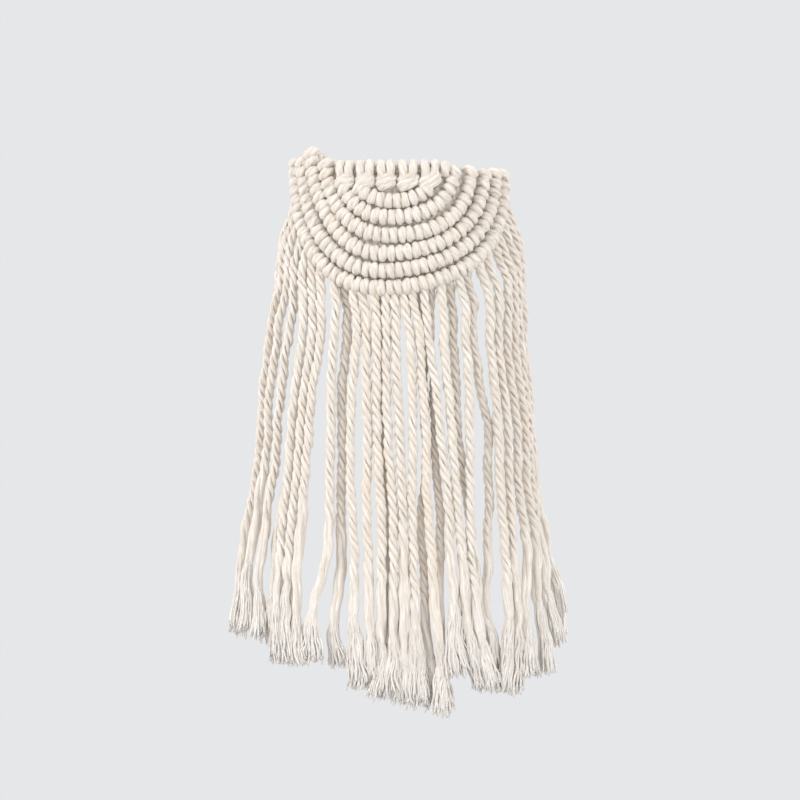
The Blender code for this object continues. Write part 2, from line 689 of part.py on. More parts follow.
def eye_loop(mesh, side, y):
    """The loop of cord at the end, open along Y for the arm of the hook."""
    path = []
    for i in range(LOOP_STEPS):
        angle = math.tau * i / LOOP_STEPS
        reach, pinch = LOOP_LENGTH, 1.0
        if math.cos(angle) < 0.0:
            reach *= LOOP_NECK
            pinch -= LOOP_PINCH * math.cos(angle) ** 2
        height = LOOP_HALF_HEIGHT * pinch * math.sin(angle)
        path.append((-side * reach * math.cos(angle), y, height))
    path = np.array(path)

    def ring_at(i):
        ahead = path[(i + 1) % LOOP_STEPS] - path[i - 1]
        ahead /= np.linalg.norm(ahead)
        across = np.cross(ahead, (0.0, 1.0, 0.0))
        points = []
        for k in range(LOOP_SIDES):
            angle = math.tau * k / LOOP_SIDES
            out = math.cos(angle) * across + math.sin(angle) * np.array((0.0, 1.0, 0.0))
            points.append(tuple(path[i] + LOOP_CORD_RADIUS * out))
        return points

    tube(mesh, path, ring_at, closed=True)


def make_object(name, mesh, collection, finish):
    """Turn a bmesh in millimetres into an object in metres, faces pointing out."""
    bmesh.ops.scale(mesh, vec=(MM, MM, MM), verts=mesh.verts)
    bmesh.ops.recalc_face_normals(mesh, faces=mesh.faces)
    data = bpy.data.meshes.new(name)
    mesh.to_mesh(data)
    mesh.free()
    data.materials.append(finish)
    thing = bpy.data.objects.new(name, data)
    collection.objects.link(thing)
    return thing


def hide(thing):
    """Mark a tool shape as a guide, so that it isn't part of the model."""
    thing.hide_render = True
    thing.display_type = "WIRE"


def join_with(thing, tools):
    """Fuse tool shapes into an object with union modifiers."""
    for tool in tools:
        hide(tool)
        union = thing.modifiers.new(tool.name, "BOOLEAN")
        union.operation = "UNION"
        union.solver = "EXACT"
        union.use_self = True
        union.object = tool


def cotton():
    """Unbleached cotton."""
    finish = bpy.data.materials.new("cotton")
    finish.use_nodes = True
    shader = finish.node_tree.nodes["Principled BSDF"]
    shader.inputs["Base Color"].default_value = COTTON
    shader.inputs["Roughness"].default_value = 0.95
    return finish


def build_fringe(parts, tools, finish):
    """The sixth bar with all hanging cords fused into it."""
    bar = bmesh.new()
    fringe_bar(bar)
    fringe = make_object("fringe", bar, parts, finish)
    strands = bmesh.new()
    for path in hanging_cords():
        strand(strands, path)
    join_with(fringe, [make_object("fringe_strands", strands, tools, finish)])


def build_tie_cord(name, route, side, parts, tools, finish):
    """One end of the holding cord, with its binding and its loop."""
    cord = bmesh.new()
    path = rope(cord, route, side)
    tie = make_object(name, cord, parts, finish)
    barrel = bmesh.new()
    start = path[-1] + (path[-3] - path[-1]) * BINDING_OVERLAP
    binding(barrel, start, path[-1] - path[-3])
    loop = bmesh.new()
    eye_loop(loop, side, path[-1][1])
    tools_made = [make_object(name + "_binding", barrel, tools, finish)]
    tools_made.append(make_object(name + "_loop", loop, tools, finish))
    join_with(tie, tools_made)


def main():
    for thing in list(bpy.data.objects):
        bpy.data.objects.remove(thing, do_unlink=True)
    parts = bpy.data.collections.new("curtain_tieback")
    tools = bpy.data.collections.new("guides")
    for collection in (parts, tools):
        bpy.context.scene.collection.children.link(collection)
    finish = cotton()
    make_object("knotted_panel", knotted_panel(), parts, finish)
    build_fringe(parts, tools, finish)
    build_tie_cord("tie_cord_left", HOLD_ROUTE, -1, parts, tools, finish)
    build_tie_cord("tie_cord_right", HOLD_ROUTE_RIGHT, 1, parts, tools, finish)


main()
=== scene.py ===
"""Tieback tassel in twisted cotton cord, dressed round its fixed frame.

A half-moon of double half hitches, under a row of five lark's head knots, bends round
the front of a hollow.  Its sixth bar carries a fringe of three-ply cords, which untwist
into brushed locks.  A holding cord runs back from each end to a bound loop.
Lengths are in millimetres: +X right, -Y front, +Z up, and the origin is in the two
loops.  Heights are from the middle of the half-moon's top edge, and a run is a distance
round the hollow from its front middle.
"""
import logging
import math
from dataclasses import dataclass, field
from enum import Enum

import bmesh
import bpy
import numpy as np
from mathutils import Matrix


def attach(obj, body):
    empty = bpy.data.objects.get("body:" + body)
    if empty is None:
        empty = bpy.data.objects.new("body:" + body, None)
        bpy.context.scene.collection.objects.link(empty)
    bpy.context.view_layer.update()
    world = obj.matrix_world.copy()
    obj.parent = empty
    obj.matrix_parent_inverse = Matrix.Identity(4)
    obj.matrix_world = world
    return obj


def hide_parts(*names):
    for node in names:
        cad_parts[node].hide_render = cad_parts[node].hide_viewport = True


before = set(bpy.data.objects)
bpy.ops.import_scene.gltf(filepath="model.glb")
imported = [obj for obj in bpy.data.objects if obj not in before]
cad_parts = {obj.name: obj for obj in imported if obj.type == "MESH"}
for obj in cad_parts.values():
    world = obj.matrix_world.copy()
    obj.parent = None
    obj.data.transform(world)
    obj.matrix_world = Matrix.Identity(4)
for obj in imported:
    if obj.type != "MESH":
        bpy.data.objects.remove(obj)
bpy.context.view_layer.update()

Array = np.ndarray
Colour = tuple[float, float, float]
Pair = tuple[float, float]
Inputs = dict[str | int, float | tuple[float, ...] | bpy.types.NodeSocket]

MM = 0.001
BODY = "root"
SEED = 7
TINY = 1e-9
WELD = 1e-3             # between two points of a seam that are one
CORE_STEP = 1.5         # between the points of a cord that runs along a bar
# the least tint that a whole cord or wrap is drawn with, above where painted light starts
LEAST_TINT = 0.35
PATTERN_SHIFT = 0.37    # between the fibre patterns of two strands, for each seam point
FIBRE = "fibre"    # vertex attribute: a place in the strand's own round section
TINT = "tint"      # vertex attribute: how warm the strand is; low tints also get painted light
GOLDEN_ANGLE = math.pi * (3.0 - math.sqrt(5.0))

log = logging.getLogger("tieback")


class Side(Enum):
    """A side of the half-moon, seen from the front."""

    LEFT = -1
    RIGHT = 1


class Hang(Enum):
    """Where a cord of the fringe hangs: before or past the hollow's widest place."""

    FRONT = 0
    BEHIND = 1


# ---------------------------------------------------------------- lines and paths


def unit(rows: Array) -> Array:
    """Scale each row to length one.

    Args:
        rows: vectors, one a row.

    Returns:
        The unit vectors.
    """
    return rows / np.maximum(np.linalg.norm(rows, axis=-1, keepdims=True), TINY)


def smooth(knots: Array, values: Array, place: float) -> float:
    """Read a smooth curve through values at increasing knots, with no overshoot.

    Args:
        knots: increasing places.
        values: the value at each knot.
        place: where to read the curve.

    Returns:
        The curve's value there.
    """
    knots, values = np.asarray(knots, float), np.asarray(values, float)
    place = min(max(place, knots[0]), knots[-1])
    rates = np.diff(values) / np.diff(knots)
    slopes = np.concatenate([rates[:1], np.zeros(len(rates) - 1), rates[-1:]])
    for k, (before, after) in enumerate(zip(rates, rates[1:])):
        if before * after > 0.0:
            slopes[k + 1] = 2.0 * before * after / (before + after)
    i = min(int(np.searchsorted(knots, place, side="right")) - 1, len(knots) - 2)
    width = knots[i + 1] - knots[i]
    t = (place - knots[i]) / width
    start = (1 + 2 * t) * (1 - t) ** 2 * values[i] + t * t * (3 - 2 * t) * values[i + 1]
    lean = t * (1 - t) ** 2 * slopes[i] - t * t * (1 - t) * slopes[i + 1]
    return float(start + width * lean)


def lengths_of(line: Array) -> Array:
    """Measure the distance along a line to each of its points.

    Args:
        line: points, one a row.

    Returns:
        One distance for each point, from 0.
    """
    return np.concatenate([[0.0], np.cumsum(np.linalg.norm(np.diff(line, axis=0), axis=1))])


def read_line(line: Array, distances: Array) -> Array:
    """Read the points of a line at given distances along it.

    Args:
        line: points, one a row.
        distances: where to read it.

    Returns:
        The points there.
    """
    along = lengths_of(line)
    return np.stack([np.interp(distances, along, column) for column in line.T], axis=-1)


def even(line: Array, step: float) -> Array:
    """Space the points of a line about one step apart.

    Args:
        line: points, one a row.
        step: the distance wanted between two points.

    Returns:
        The evenly spaced points, with both ends kept.
    """
    total = lengths_of(line)[-1]
    count = max(2, int(round(total / step)))
    return read_line(line, np.linspace(0.0, total, count + 1))


def rounded(line: Array, reach: int) -> Array:
    """Move each point of a line to the mean of its neighbours, the ends kept.

    Args:
        line: points, one a row.
        reach: how many neighbours count on each side.

    Returns:
        The rounded line.
    """
    last = len(line) - 1
    spans = [min(reach, i, last - i) for i in range(len(line))]
    return np.array([line[i - n:i + n + 1].mean(axis=0) for i, n in enumerate(spans)])


def ease(shares: Array) -> Array:
    """Ease shares, so that they leave 0 and reach 1 slowly.

    Args:
        shares: even shares from 0 to 1.

    Returns:
        The eased shares.
    """
    return shares * shares * (3.0 - 2.0 * shares)


def full_turn(steps: int) -> Array:
    """Divide a full turn evenly.

    Args:
        steps: how many steps it has.

    Returns:
        The turn at the start of each step.
    """
    return np.linspace(0.0, math.tau, steps, endpoint=False)


def turned(across: Array, up: Array, turns: Array) -> Array:
    """Turn from one direction towards another that is square to it.

    Args:
        across: the direction at no turn, as one row or one for each turn.
        up: the direction at a quarter turn, in the same form.
        turns: how far to turn.

    Returns:
        One direction for each turn.
    """
    return np.cos(turns)[:, None] * across + np.sin(turns)[:, None] * up


def outward(line: Array) -> Array:
    """Find the unit normals of a line in run and height, away from the half-moon.

    Args:
        line: rows of run and height, from left to right.

    Returns:
        One unit normal for each point.
    """
    tangent = unit(np.gradient(line, axis=0))
    return np.stack([tangent[:, 1], -tangent[:, 0]], axis=1)


def frames_along(path: Array, closed: bool = False) -> tuple[Array, Array]:
    """Carry two directions along a path so that they turn as little as they can.

    Args:
        path: points in space, one a row.
        closed: whether the last point is followed by the first.

    Returns:
        The directions across the path, as two arrays of unit rows.
    """
    if closed:
        ahead = unit(np.roll(path, -1, axis=0) - np.roll(path, 1, axis=0))
    else:
        ahead = unit(np.gradient(path, axis=0))
    current = np.zeros(3)
    current[int(np.abs(ahead[0]).argmin())] = 1.0
    across = np.empty_like(path)
    for i, direction in enumerate(ahead):
        current = current - current.dot(direction) * direction
        current = current / math.sqrt(current.dot(current))
        across[i] = current
    up = np.cross(ahead, across)
    if closed:
        back = current - current.dot(ahead[0]) * ahead[0]
        gap = math.atan2(float(back.dot(up[0])), float(back.dot(across[0])))
        turns = -gap * np.arange(len(path)) / len(path)
        across, up = turned(across, up, turns), turned(up, -across, turns)
    return across, up


def wound(path: Array, turns: Array, reach: Array | float) -> Array:
    """Wind a line round a path.

    Args:
        path: points in space, one a row.
        turns: the line's turn at each point.
        reach: its distance from the path, the same all along or one for each point.

    Returns:
        The line's points.
    """
    reach = np.broadcast_to(reach, (len(path),))[:, None]
    return path + reach * turned(*frames_along(path), turns)


# ---------------------------------------------------------------- the finish


def set_inputs(node: bpy.types.Node, values: Inputs) -> bpy.types.Node:
    """Set the inputs of a shader node.

    Args:
        node: the node.
        values: for an input's name or number, its value or the output that feeds it.

    Returns:
        The same node.
    """
    for name, value in values.items():
        if isinstance(value, bpy.types.NodeSocket):
            node.id_data.links.new(value, node.inputs[name])
        else:
            node.inputs[name].default_value = value
    return node


def add_node(tree: bpy.types.NodeTree, kind: str, values: Inputs,
             **options: str | bool) -> bpy.types.Node:
    """Add a shader node.

    Args:
        tree: the nodes that it joins.
        kind: its type.
        values: its inputs, as for set_inputs.
        **options: its own settings.

    Returns:
        The new node.
    """
    node = tree.nodes.new(kind)
    for name, option in options.items():
        setattr(node, name, option)
    return set_inputs(node, values)


@dataclass(frozen=True)
class CottonFinish:
    """Unbleached cotton: soft yarns with fine fibres that follow each strand, and painted light on
    the palest strands.
    """

    name: str
    light: Colour
    shade: Colour
    warm: Colour
    yarns: float = 1.9            # across a millimetre
    stretch: float = 0.07         # of the yarns' pattern along a strand
    yarn_detail: float = 3.0
    yarn_roughness: float = 0.65
    contrast: Pair = (0.36, 0.64)   # of the pattern, stretched to 0 and 1
    patch_scale: float = 38.0     # of the slow change in colour, to the metre
    soft_detail: float = 2.0      # of the patches and the lint
    bump: float = 0.9
    bump_depth: float = 0.00037
    lint_scale: float = 1800.0    # to the metre
    lint_bump: float = 0.18
    lint_depth: float = 0.0002
    roughness: float = 0.93
    specular: float = 0.18
    sheen: float = 0.22
    sheen_roughness: float = 0.6
    painted_light_below: float = 0.3     # the tint below which a strand gets painted light
    painted_tip_light: float = 0.28     # painted light: how much of the fibres' shade is taken off the palest strands, standing in for light through thin fibres

    def material(self) -> bpy.types.Material:
        """Make the finish as a node material.

        Returns:
            The new material.
        """
        finish = bpy.data.materials.new(self.name)
        finish.use_nodes = True
        tree = finish.node_tree
        fibres = self._fibres(tree)
        set_inputs(tree.nodes["Principled BSDF"], {
            "Base Color": self._colour(tree, fibres), "Normal": self._relief(tree, fibres),
            "Roughness": self.roughness, "Specular IOR Level": self.specular,
            "Sheen Weight": self.sheen, "Sheen Roughness": self.sheen_roughness})
        return finish

    def _fibres(self, tree: bpy.types.NodeTree) -> bpy.types.NodeSocket:
        """Draw fine lines along each strand.

        Args:
            tree: the material's nodes.

        Returns:
            The output with the pattern, from 0 to 1.
        """
        place = add_node(tree, "ShaderNodeAttribute", {}, attribute_name=FIBRE)
        scaled = add_node(tree, "ShaderNodeMapping", {
            "Vector": place.outputs["Vector"],
            "Scale": (self.yarns, self.yarns, self.stretch * self.yarns)})
        lines = add_node(tree, "ShaderNodeTexNoise", {
            "Vector": scaled.outputs["Vector"], "Scale": 1.0, "Detail": self.yarn_detail,
            "Roughness": self.yarn_roughness})
        spread = add_node(tree, "ShaderNodeMapRange", {
            "Value": lines.outputs["Fac"], "From Min": self.contrast[0],
            "From Max": self.contrast[1]})
        return spread.outputs["Result"]

    def _colour(self, tree: bpy.types.NodeTree,
                fibres: bpy.types.NodeSocket) -> bpy.types.NodeSocket:
        """Mix the cotton's colours by fibre, by strand and by patch, and paint light onto the
        palest strands.

        Args:
            tree: the material's nodes.
            fibres: the pattern of fine lines.

        Returns:
            The output with the colour.
        """
        strand = add_node(tree, "ShaderNodeAttribute", {}, attribute_name=TINT)
        place = add_node(tree, "ShaderNodeTexCoord", {})
        patches = add_node(tree, "ShaderNodeTexNoise", {
            "Vector": place.outputs["Object"], "Scale": self.patch_scale,
            "Detail": self.soft_detail})
        warmth = add_node(tree, "ShaderNodeMath", {
            0: strand.outputs["Fac"], 1: patches.outputs["Fac"]}, operation="MULTIPLY")
        lit = add_node(tree, "ShaderNodeMix", {
            "A": (*self.light, 1.0), "B": (*self.warm, 1.0),
            "Factor": warmth.outputs["Value"]}, data_type="RGBA")
        # Painted light: below a low tint, as at the brushed tips, part of the fibres' shade is
        # lifted, standing in for light that passes through thin cotton.
        painted_lift = add_node(tree, "ShaderNodeMapRange", {
            "Value": strand.outputs["Fac"], "From Max": self.painted_light_below,
            "To Min": self.painted_tip_light, "To Max": 0.0})
        fibres_lightened = add_node(tree, "ShaderNodeMath", {
            0: fibres, 1: painted_lift.outputs["Result"]}, use_clamp=True)
        whole = add_node(tree, "ShaderNodeMix", {
            "A": (*self.shade, 1.0), "B": lit.outputs["Result"],
            "Factor": fibres_lightened.outputs["Value"]}, data_type="RGBA")
        return whole.outputs["Result"]

    def _relief(self, tree: bpy.types.NodeTree,
                fibres: bpy.types.NodeSocket) -> bpy.types.NodeSocket:
        """Raise the fibres, and roughen them with fine lint.

        Args:
            tree: the material's nodes.
            fibres: the pattern of fine lines.

        Returns:
            The output with the bumped normal.
        """
        place = add_node(tree, "ShaderNodeTexCoord", {})
        lint = add_node(tree, "ShaderNodeTexNoise", {
            "Vector": place.outputs["Object"], "Scale": self.lint_scale,
            "Detail": self.soft_detail})
        fine = add_node(tree, "ShaderNodeBump", {
            "Strength": self.lint_bump, "Distance": self.lint_depth,
            "Height": lint.outputs["Fac"]})
        relief = add_node(tree, "ShaderNodeBump", {
            "Strength": self.bump, "Distance": self.bump_depth, "Height": fibres,
            "Normal": fine.outputs["Normal"]})
        return relief.outputs["Normal"]


# ---------------------------------------------------------------- strands of cotton


class StrandMesh:
    """One piece made of round strands, each a grid rolled up along its path."""

    def __init__(self, name: str, chance: np.random.Generator) -> None:
        """Start an empty piece.

        Args:
            name: the piece's name.
            chance: where its small unevenness comes from.
        """
        self.name = name
        self.chance = chance
        self.mesh = bmesh.new()
        self.fibre = self.mesh.verts.layers.float_vector.new(FIBRE)
        self.tint = self.mesh.verts.layers.float.new(TINT)
        self.seams: list[bmesh.types.BMVert] = []

    def any_turn(self) -> float:
        """Draw a turn from the whole circle.

        Returns:
            The turn.
        """
        return self.chance.uniform(0.0, math.tau)

    def any_tint(self, mean: float, spread: float) -> float:
        """Draw how warm a cord is.

        Args:
            mean: the tint that is drawn most often.
            spread: how far others are from it.

        Returns:
            The tint.
        """
        return float(np.clip(self.chance.normal(mean, spread), LEAST_TINT, 1.0))

    def strand(self, path: Array, radii: Array | float, sides: int = 6,
               tint: Array | float = 0.5, closed: bool = False) -> None:
        """Roll a grid up into a round strand along a path.

        Args:
            path: the strand's middle, one point a row.
            radii: its radius, the same all along or one for each point.
            sides: how many sides its section has.
            tint: how warm its colour is, from 0 to 1, as one value or one for each point; a low
                tint also gets painted light.
            closed: whether the last point is followed by the first.
        """
        across, up = frames_along(path, closed)
        radii = np.broadcast_to(np.asarray(radii, float), (len(path),))
        tints = np.broadcast_to(np.asarray(tint, float), (len(path),))
        if closed:
            path, across, up = (np.concatenate([a, a[:1]]) for a in (path, across, up))
            radii, tints = (np.append(values, values[0]) for values in (radii, tints))
        angles = np.linspace(0.0, math.tau, sides + 1)
        round_x, round_y = np.cos(angles)[None, :, None], np.sin(angles)[None, :, None]
        reach = radii[:, None, None]
        places = path[:, None] + reach * (round_x * across[:, None] + round_y * up[:, None])
        along = lengths_of(path)[:, None, None]
        own = np.concatenate([reach * round_x, reach * round_y, along + 0 * round_x], axis=2)
        own += PATTERN_SHIFT * len(self.seams)
        grid = bmesh.ops.create_grid(self.mesh, x_segments=sides, y_segments=len(path) - 1,
                                     size=1.0)["verts"]
        warmth = np.repeat(tints, sides + 1)
        for vert, place, spot, warm in zip(grid, places.reshape(-1, 3), own.reshape(-1, 3),
                                           warmth.tolist()):
            vert.co = place
            vert[self.fibre] = spot
            vert[self.tint] = warm
        self.seams += grid[::sides + 1] + grid[sides::sides + 1]
        if closed:
            self.seams += grid[:sides + 1] + grid[-sides - 1:]

    def finish(self, slot: str, finish: bpy.types.Material, *nodes: str) -> None:
        """Close the strands and turn them into a piece on the tieback's body.

        Args:
            slot: not used.
            finish: the piece's material.
            *nodes: the CAD nodes that the piece stands for.
        """
        bm = self.mesh
        bmesh.ops.remove_doubles(bm, verts=list(set(self.seams)), dist=WELD)
        bmesh.ops.holes_fill(bm, edges=[e for e in bm.edges if e.is_boundary], sides=0)
        bmesh.ops.recalc_face_normals(bm, faces=bm.faces)
        bmesh.ops.scale(bm, vec=(MM, MM, MM), verts=bm.verts)
        data = bpy.data.meshes.new(self.name)
        bm.to_mesh(data)
        bm.free()
        data.shade_smooth()
        data.materials.append(finish)
        piece = bpy.data.objects.new(self.name, data)
        bpy.context.scene.collection.objects.link(piece)
        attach(piece, BODY)
        if nodes:
            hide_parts(*nodes)
        log.info("%s: %d faces", self.name, len(data.polygons))


@dataclass(frozen=True)
class TwistedCord:
    """A cord of plies laid to the left, like the middle stroke of the letter S."""

    ply_offset: float
    ply_radius: float
    pitch: float = 17.0
    plies: int = 3
    sides: int = 6

    def lay(self, mesh: StrandMesh, path: Array, phase: float = 0.0) -> None:
        """Lay the plies along an open path.

        Args:
            mesh: the piece that the cord belongs to.
            path: the cord's middle, one point a row.
            phase: the turn of the first ply at the start.
        """
        angles = phase - math.tau * lengths_of(path) / self.pitch
        for ply in range(self.plies):
            own = wound(path, angles + math.tau * ply / self.plies, self.ply_offset)
            mesh.strand(own, self.ply_radius, self.sides)

    def lay_ring(self, mesh: StrandMesh, ring: Array, phase: float, tint: float = 0.5) -> None:
        """Lay the plies round a closed ring, as one strand that makes a lap for each.

        Its turns don't divide by the laps, so that each lap lies beside the one before.

        Args:
            mesh: the piece that the cord belongs to.
            ring: the ring's middle, one point a row.
            phase: the turn of the strand at the start.
            tint: how warm its colour is.
        """
        laps = self.plies
        length = lengths_of(np.concatenate([ring, ring[:1]]))[-1]
        turns = max(round(laps * length / self.pitch), 1)
        if turns % laps == 0:
            turns += 1
        steps = np.arange(laps * len(ring))
        angles = phase - math.tau * turns * steps / len(steps)
        parts = (ring, *frames_along(ring, closed=True))
        middle, across, up = (np.tile(part, (laps, 1)) for part in parts)
        own = middle + self.ply_offset * turned(across, up, angles)
        mesh.strand(own, self.ply_radius, self.sides, tint, closed=True)


BAR_CORE = TwistedCord(ply_offset=0.7, ply_radius=0.95)


# ---------------------------------------------------------------- the hollow


@dataclass(frozen=True)
class Hollow:
    """The hollow that the half-moon bends round, to the middle of its thickness."""

    half_width: float = 48.3
    half_depth: float = 35.0
    squareness: float = 2.3
    middle_y: float = -47.0       # from the loops
    top_edge: float = 8.0
    known_turns: int = 1441       # round one side, between which others are read
    rim_runs: tuple[float, ...] = (-66.0, -57.0, -49.0, -43.5, -40.5, -36.5, -30.0, 0.0,
                                   18.0, 30.0, 38.0, 47.0, 52.0, 66.0)
    rim_heights: tuple[float, ...] = (-2.0, -2.0, 2.2, 6.2, 6.6, 1.8, -0.2, 0.0,
                                      0.0, -1.5, -2.5, -2.2, -2.5, -4.0)

    def section(self, turns: Array, wide: Array | float, deep: Array | float,
                proud: Array | float = 0.0) -> Array:
        """Find points of a section of the hollow.

        Args:
            turns: turns from the front middle.
            wide: the section's half width.
            deep: the section's half depth.
            proud: how far the points are outside it.

        Returns:
            Rows of x and y, from the hollow's middle.
        """
        turns = np.asarray(turns, float)
        power = 2.0 / self.squareness
        x = wide * np.copysign(np.abs(np.sin(turns)) ** power, np.sin(turns))
        y = -deep * np.copysign(np.abs(np.cos(turns)) ** power, np.cos(turns))
        slope = self.squareness - 1.0
        normal = np.stack([np.copysign(np.abs(x / wide) ** slope / wide, x),
                           np.copysign(np.abs(y / deep) ** slope / deep, y)], axis=-1)
        return np.stack([x, y], axis=-1) + np.asarray(proud, float)[..., None] * unit(normal)

    def turn_of(self, runs: Array | float) -> Array:
        """Find the turn from the front middle for distances round the hollow.

        Args:
            runs: distances round the hollow.

        Returns:
            The turns.
        """
        turns = np.linspace(0.0, math.pi, self.known_turns)
        known = lengths_of(self.section(turns, self.half_width, self.half_depth))
        runs = np.asarray(runs, float)
        return np.copysign(np.interp(np.abs(runs), known, turns), runs)

    def place(self, runs: Array, heights: Array, prouds: Array | float) -> Array:
        """Find points in space from their runs, heights and how proud they stand.

        Args:
            runs: distances round the hollow.
            heights: heights from the middle of the top edge.
            prouds: distances outside the middle of the half-moon's thickness.

        Returns:
            The points, one a row.
        """
        runs, heights, prouds = np.broadcast_arrays(runs, heights, prouds)
        flat = self.section(self.turn_of(runs), self.half_width, self.half_depth, prouds)
        return np.concatenate([flat + (0.0, self.middle_y),
                               (heights + self.top_edge)[..., None]], axis=-1)

    def rim(self, run: float) -> float:
        """Read the height of the top edge.

        Args:
            run: a distance round the hollow.

        Returns:
            The height there.
        """
        return smooth(self.rim_runs, self.rim_heights, run)


# ---------------------------------------------------------------- the half-moon


@dataclass(frozen=True)
class Bar:
    """One curved bar of hitches, from the top edge round its lowest place and back."""

    lowest: float
    left: float
    right: float
    drop: float
    left_bow: float
    right_bow: float
    first: float = -math.inf    # the runs between which it is knotted
    last: float = math.inf
    quarter_points: int = 91
    rounding: int = 9           # points to each side that count

    def line(self, hollow: Hollow) -> Array:
        """Draw the middle line of the bar's knotted part.

        Args:
            hollow: what the bar bends round.

        Returns:
            Rows of run and height, from left to right.
        """
        angles = np.linspace(0.0, 0.5 * math.pi, self.quarter_points)
        quarters = []
        for side, reach, bow in ((-1, self.left, self.left_bow), (1, self.right, self.right_bow)):
            top = hollow.rim(self.lowest + side * reach)
            runs = self.lowest + side * reach * np.sin(angles) ** (2.0 / bow)
            drop = (top + self.drop) * np.maximum(np.cos(angles), 0.0) ** (2.0 / bow)
            quarters.append(np.stack([runs, top - drop], axis=1))
        line = np.concatenate([quarters[0][::-1], quarters[1][1:]])
        line = rounded(even(line, 1.0), self.rounding)
        return line[(line[:, 0] > self.first) & (line[:, 0] < self.last)]


@dataclass(frozen=True)
class Wraps:
    """How a cord wraps round a bar: upright in the middle, leaning at the sides.

    The rows are knotted from left to right, so they lean most on the right, where they
    draw the bar into a narrow ridge.
    """

    pitch: float = 3.75
    half_height: float = 1.75
    half_depth: float = 1.7
    proud: float = 0.45
    left_lean: float = math.radians(36.0)
    right_lean: float = math.radians(56.0)
    ridge: float = 0.42        # of the bar's width, lost on the right where it stands upright
    apart: float = 0.22        # of the pitch, added there
    lean_longer: float = 0.3   # how much longer the lean makes a wrap there
    pair: float = 0.05         # of the pitch, by which the two wraps of a hitch are closer
    pinch: float = math.radians(4.5)       # of the two wraps, towards each other
    uneven: float = math.radians(3.0)
    uneven_reach: float = 0.025    # of a wrap's half height
    uneven_proud: float = 0.08
    steps: int = 26
    free: Pair = (0.5, 0.3)        # of the pitch, before the first middle and after the last
    tint: Pair = (0.55, 0.16)      # the mean and the spread
    cord: TwistedCord = TwistedCord(ply_offset=0.86, ply_radius=1.6, pitch=14.0)

    def lay(self, mesh: StrandMesh, line: Array, hollow: Hollow) -> None:
        """Wrap a bar from end to end.

        Args:
            mesh: the piece that the wraps belong to.
            line: the bar's middle, as rows of run and height.
            hollow: what the bar bends round.
        """
        lengths = lengths_of(line)
        normals = outward(line)
        distance, index = self.free[0] * self.pitch, 0
        while distance < lengths[-1] - self.free[1] * self.pitch:
            spot = read_line(line, np.array([distance]))[0]
            normal = np.array([np.interp(distance, lengths, normals[:, k]) for k in (0, 1)])
            from_down = math.atan2(normal[0], -normal[1])
            upright = min((from_down / (0.5 * math.pi)) ** 2, 1.0)
            pinch = self.pinch if index % 2 else -self.pinch
            angle = from_down + pinch + mesh.chance.normal(0.0, self.uneven)
            step = self.pitch * (1.0 + self.pair if index % 2 else 1.0 - self.pair)
            if from_down > 0.0:
                lean = self.right_lean * upright
                longer = 1.0 + upright * (self.lean_longer * math.tan(lean) - self.ridge)
                step *= 1.0 + self.apart * upright
            else:
                lean = -self.left_lean * upright
                longer = 1.0 / math.cos(lean)
                step *= longer
            angle -= lean
            self.wrap(mesh, hollow, spot, (math.sin(angle), -math.cos(angle)), longer)
            distance += step
            index += 1

    def wrap(self, mesh: StrandMesh, hollow: Hollow, spot: Array | Pair, down: Pair,
             longer: float = 1.0) -> None:
        """Lay one closed wrap.

        Args:
            mesh: the piece that the wrap belongs to.
            hollow: what the bar bends round.
            spot: the run and height of the wrap's middle.
            down: the direction in run and height that the wrap goes in over the bar.
            longer: how much longer it is than on a straight bar.
        """
        around = full_turn(self.steps)
        reach = self.half_height * longer * mesh.chance.normal(1.0, self.uneven_reach)
        across = reach * np.sin(around)
        proud = (self.proud - self.half_depth * np.cos(around)
                 + mesh.chance.normal(0.0, self.uneven_proud))
        ring = hollow.place(spot[0] + across * down[0], spot[1] + across * down[1], proud)
        self.cord.lay_ring(mesh, ring, mesh.any_turn(), mesh.any_tint(*self.tint))


@dataclass(frozen=True)
class LarksHead:
    """A lark's head knot: two upright legs over the top edge, and a bump below them."""

    run: float
    half_width: float = 4.4
    lean: float = 0.03         # how much the legs draw together, in each mm down
    tilt: float = 0.4          # rise of the bump's strands, to the right
    drop: float = 8.6
    leg_spread: float = 1.98   # from the knot's middle to each leg
    leg_middle: float = -3.7
    leg_half: float = 3.1
    leg_depth: float = 1.9
    leg_proud: float = 0.3
    bump_step: float = 1.9     # from one of the bump's three strands to the next
    bump_inset: float = 1.45   # of the strands' ends, from the knot's half width
    bump_round: float = 0.5    # by how much the outer two strands are shorter
    bump_proud: float = 0.9
    bump_back: float = 0.3     # of the outer two strands, behind the middle one
    bump_depth: float = 1.5
    steps: int = 30            # round each strand
    tints: Pair = (0.3, 0.7)
    leg_cord: TwistedCord = TwistedCord(ply_offset=0.75, ply_radius=1.5, pitch=15.0)
    bump_cord: TwistedCord = TwistedCord(ply_offset=0.45, ply_radius=1.45, pitch=17.0)

    def lay(self, mesh: StrandMesh, hollow: Hollow) -> None:
        """Lay the knot's two legs and the three strands of its bump.

        Args:
            mesh: the piece that the knot belongs to.
            hollow: what it bends round.
        """
        around = full_turn(self.steps)
        for side in (-1, 1):
            heights = self.leg_middle + self.leg_half * np.sin(around)
            spread = self.leg_spread * (1.0 + self.lean * (heights - self.leg_middle))
            proud = self.leg_proud - self.leg_depth * np.cos(around)
            ring = hollow.place(self.run + side * spread, heights, proud)
            self.leg_cord.lay_ring(mesh, ring, mesh.any_turn(),
                                   float(mesh.chance.uniform(*self.tints)))
        for row in (-1, 0, 1):
            half = self.half_width - self.bump_inset - self.bump_round * abs(row)
            across = half * np.sin(around)
            heights = -self.drop + self.bump_step * row + self.tilt * across
            proud = self.bump_proud - self.bump_back * abs(row) - self.bump_depth * np.cos(around)
            ring = hollow.place(self.run + across - self.tilt * row, heights, proud)
            self.bump_cord.lay_ring(mesh, ring, mesh.any_turn(),
                                    float(mesh.chance.uniform(*self.tints)))


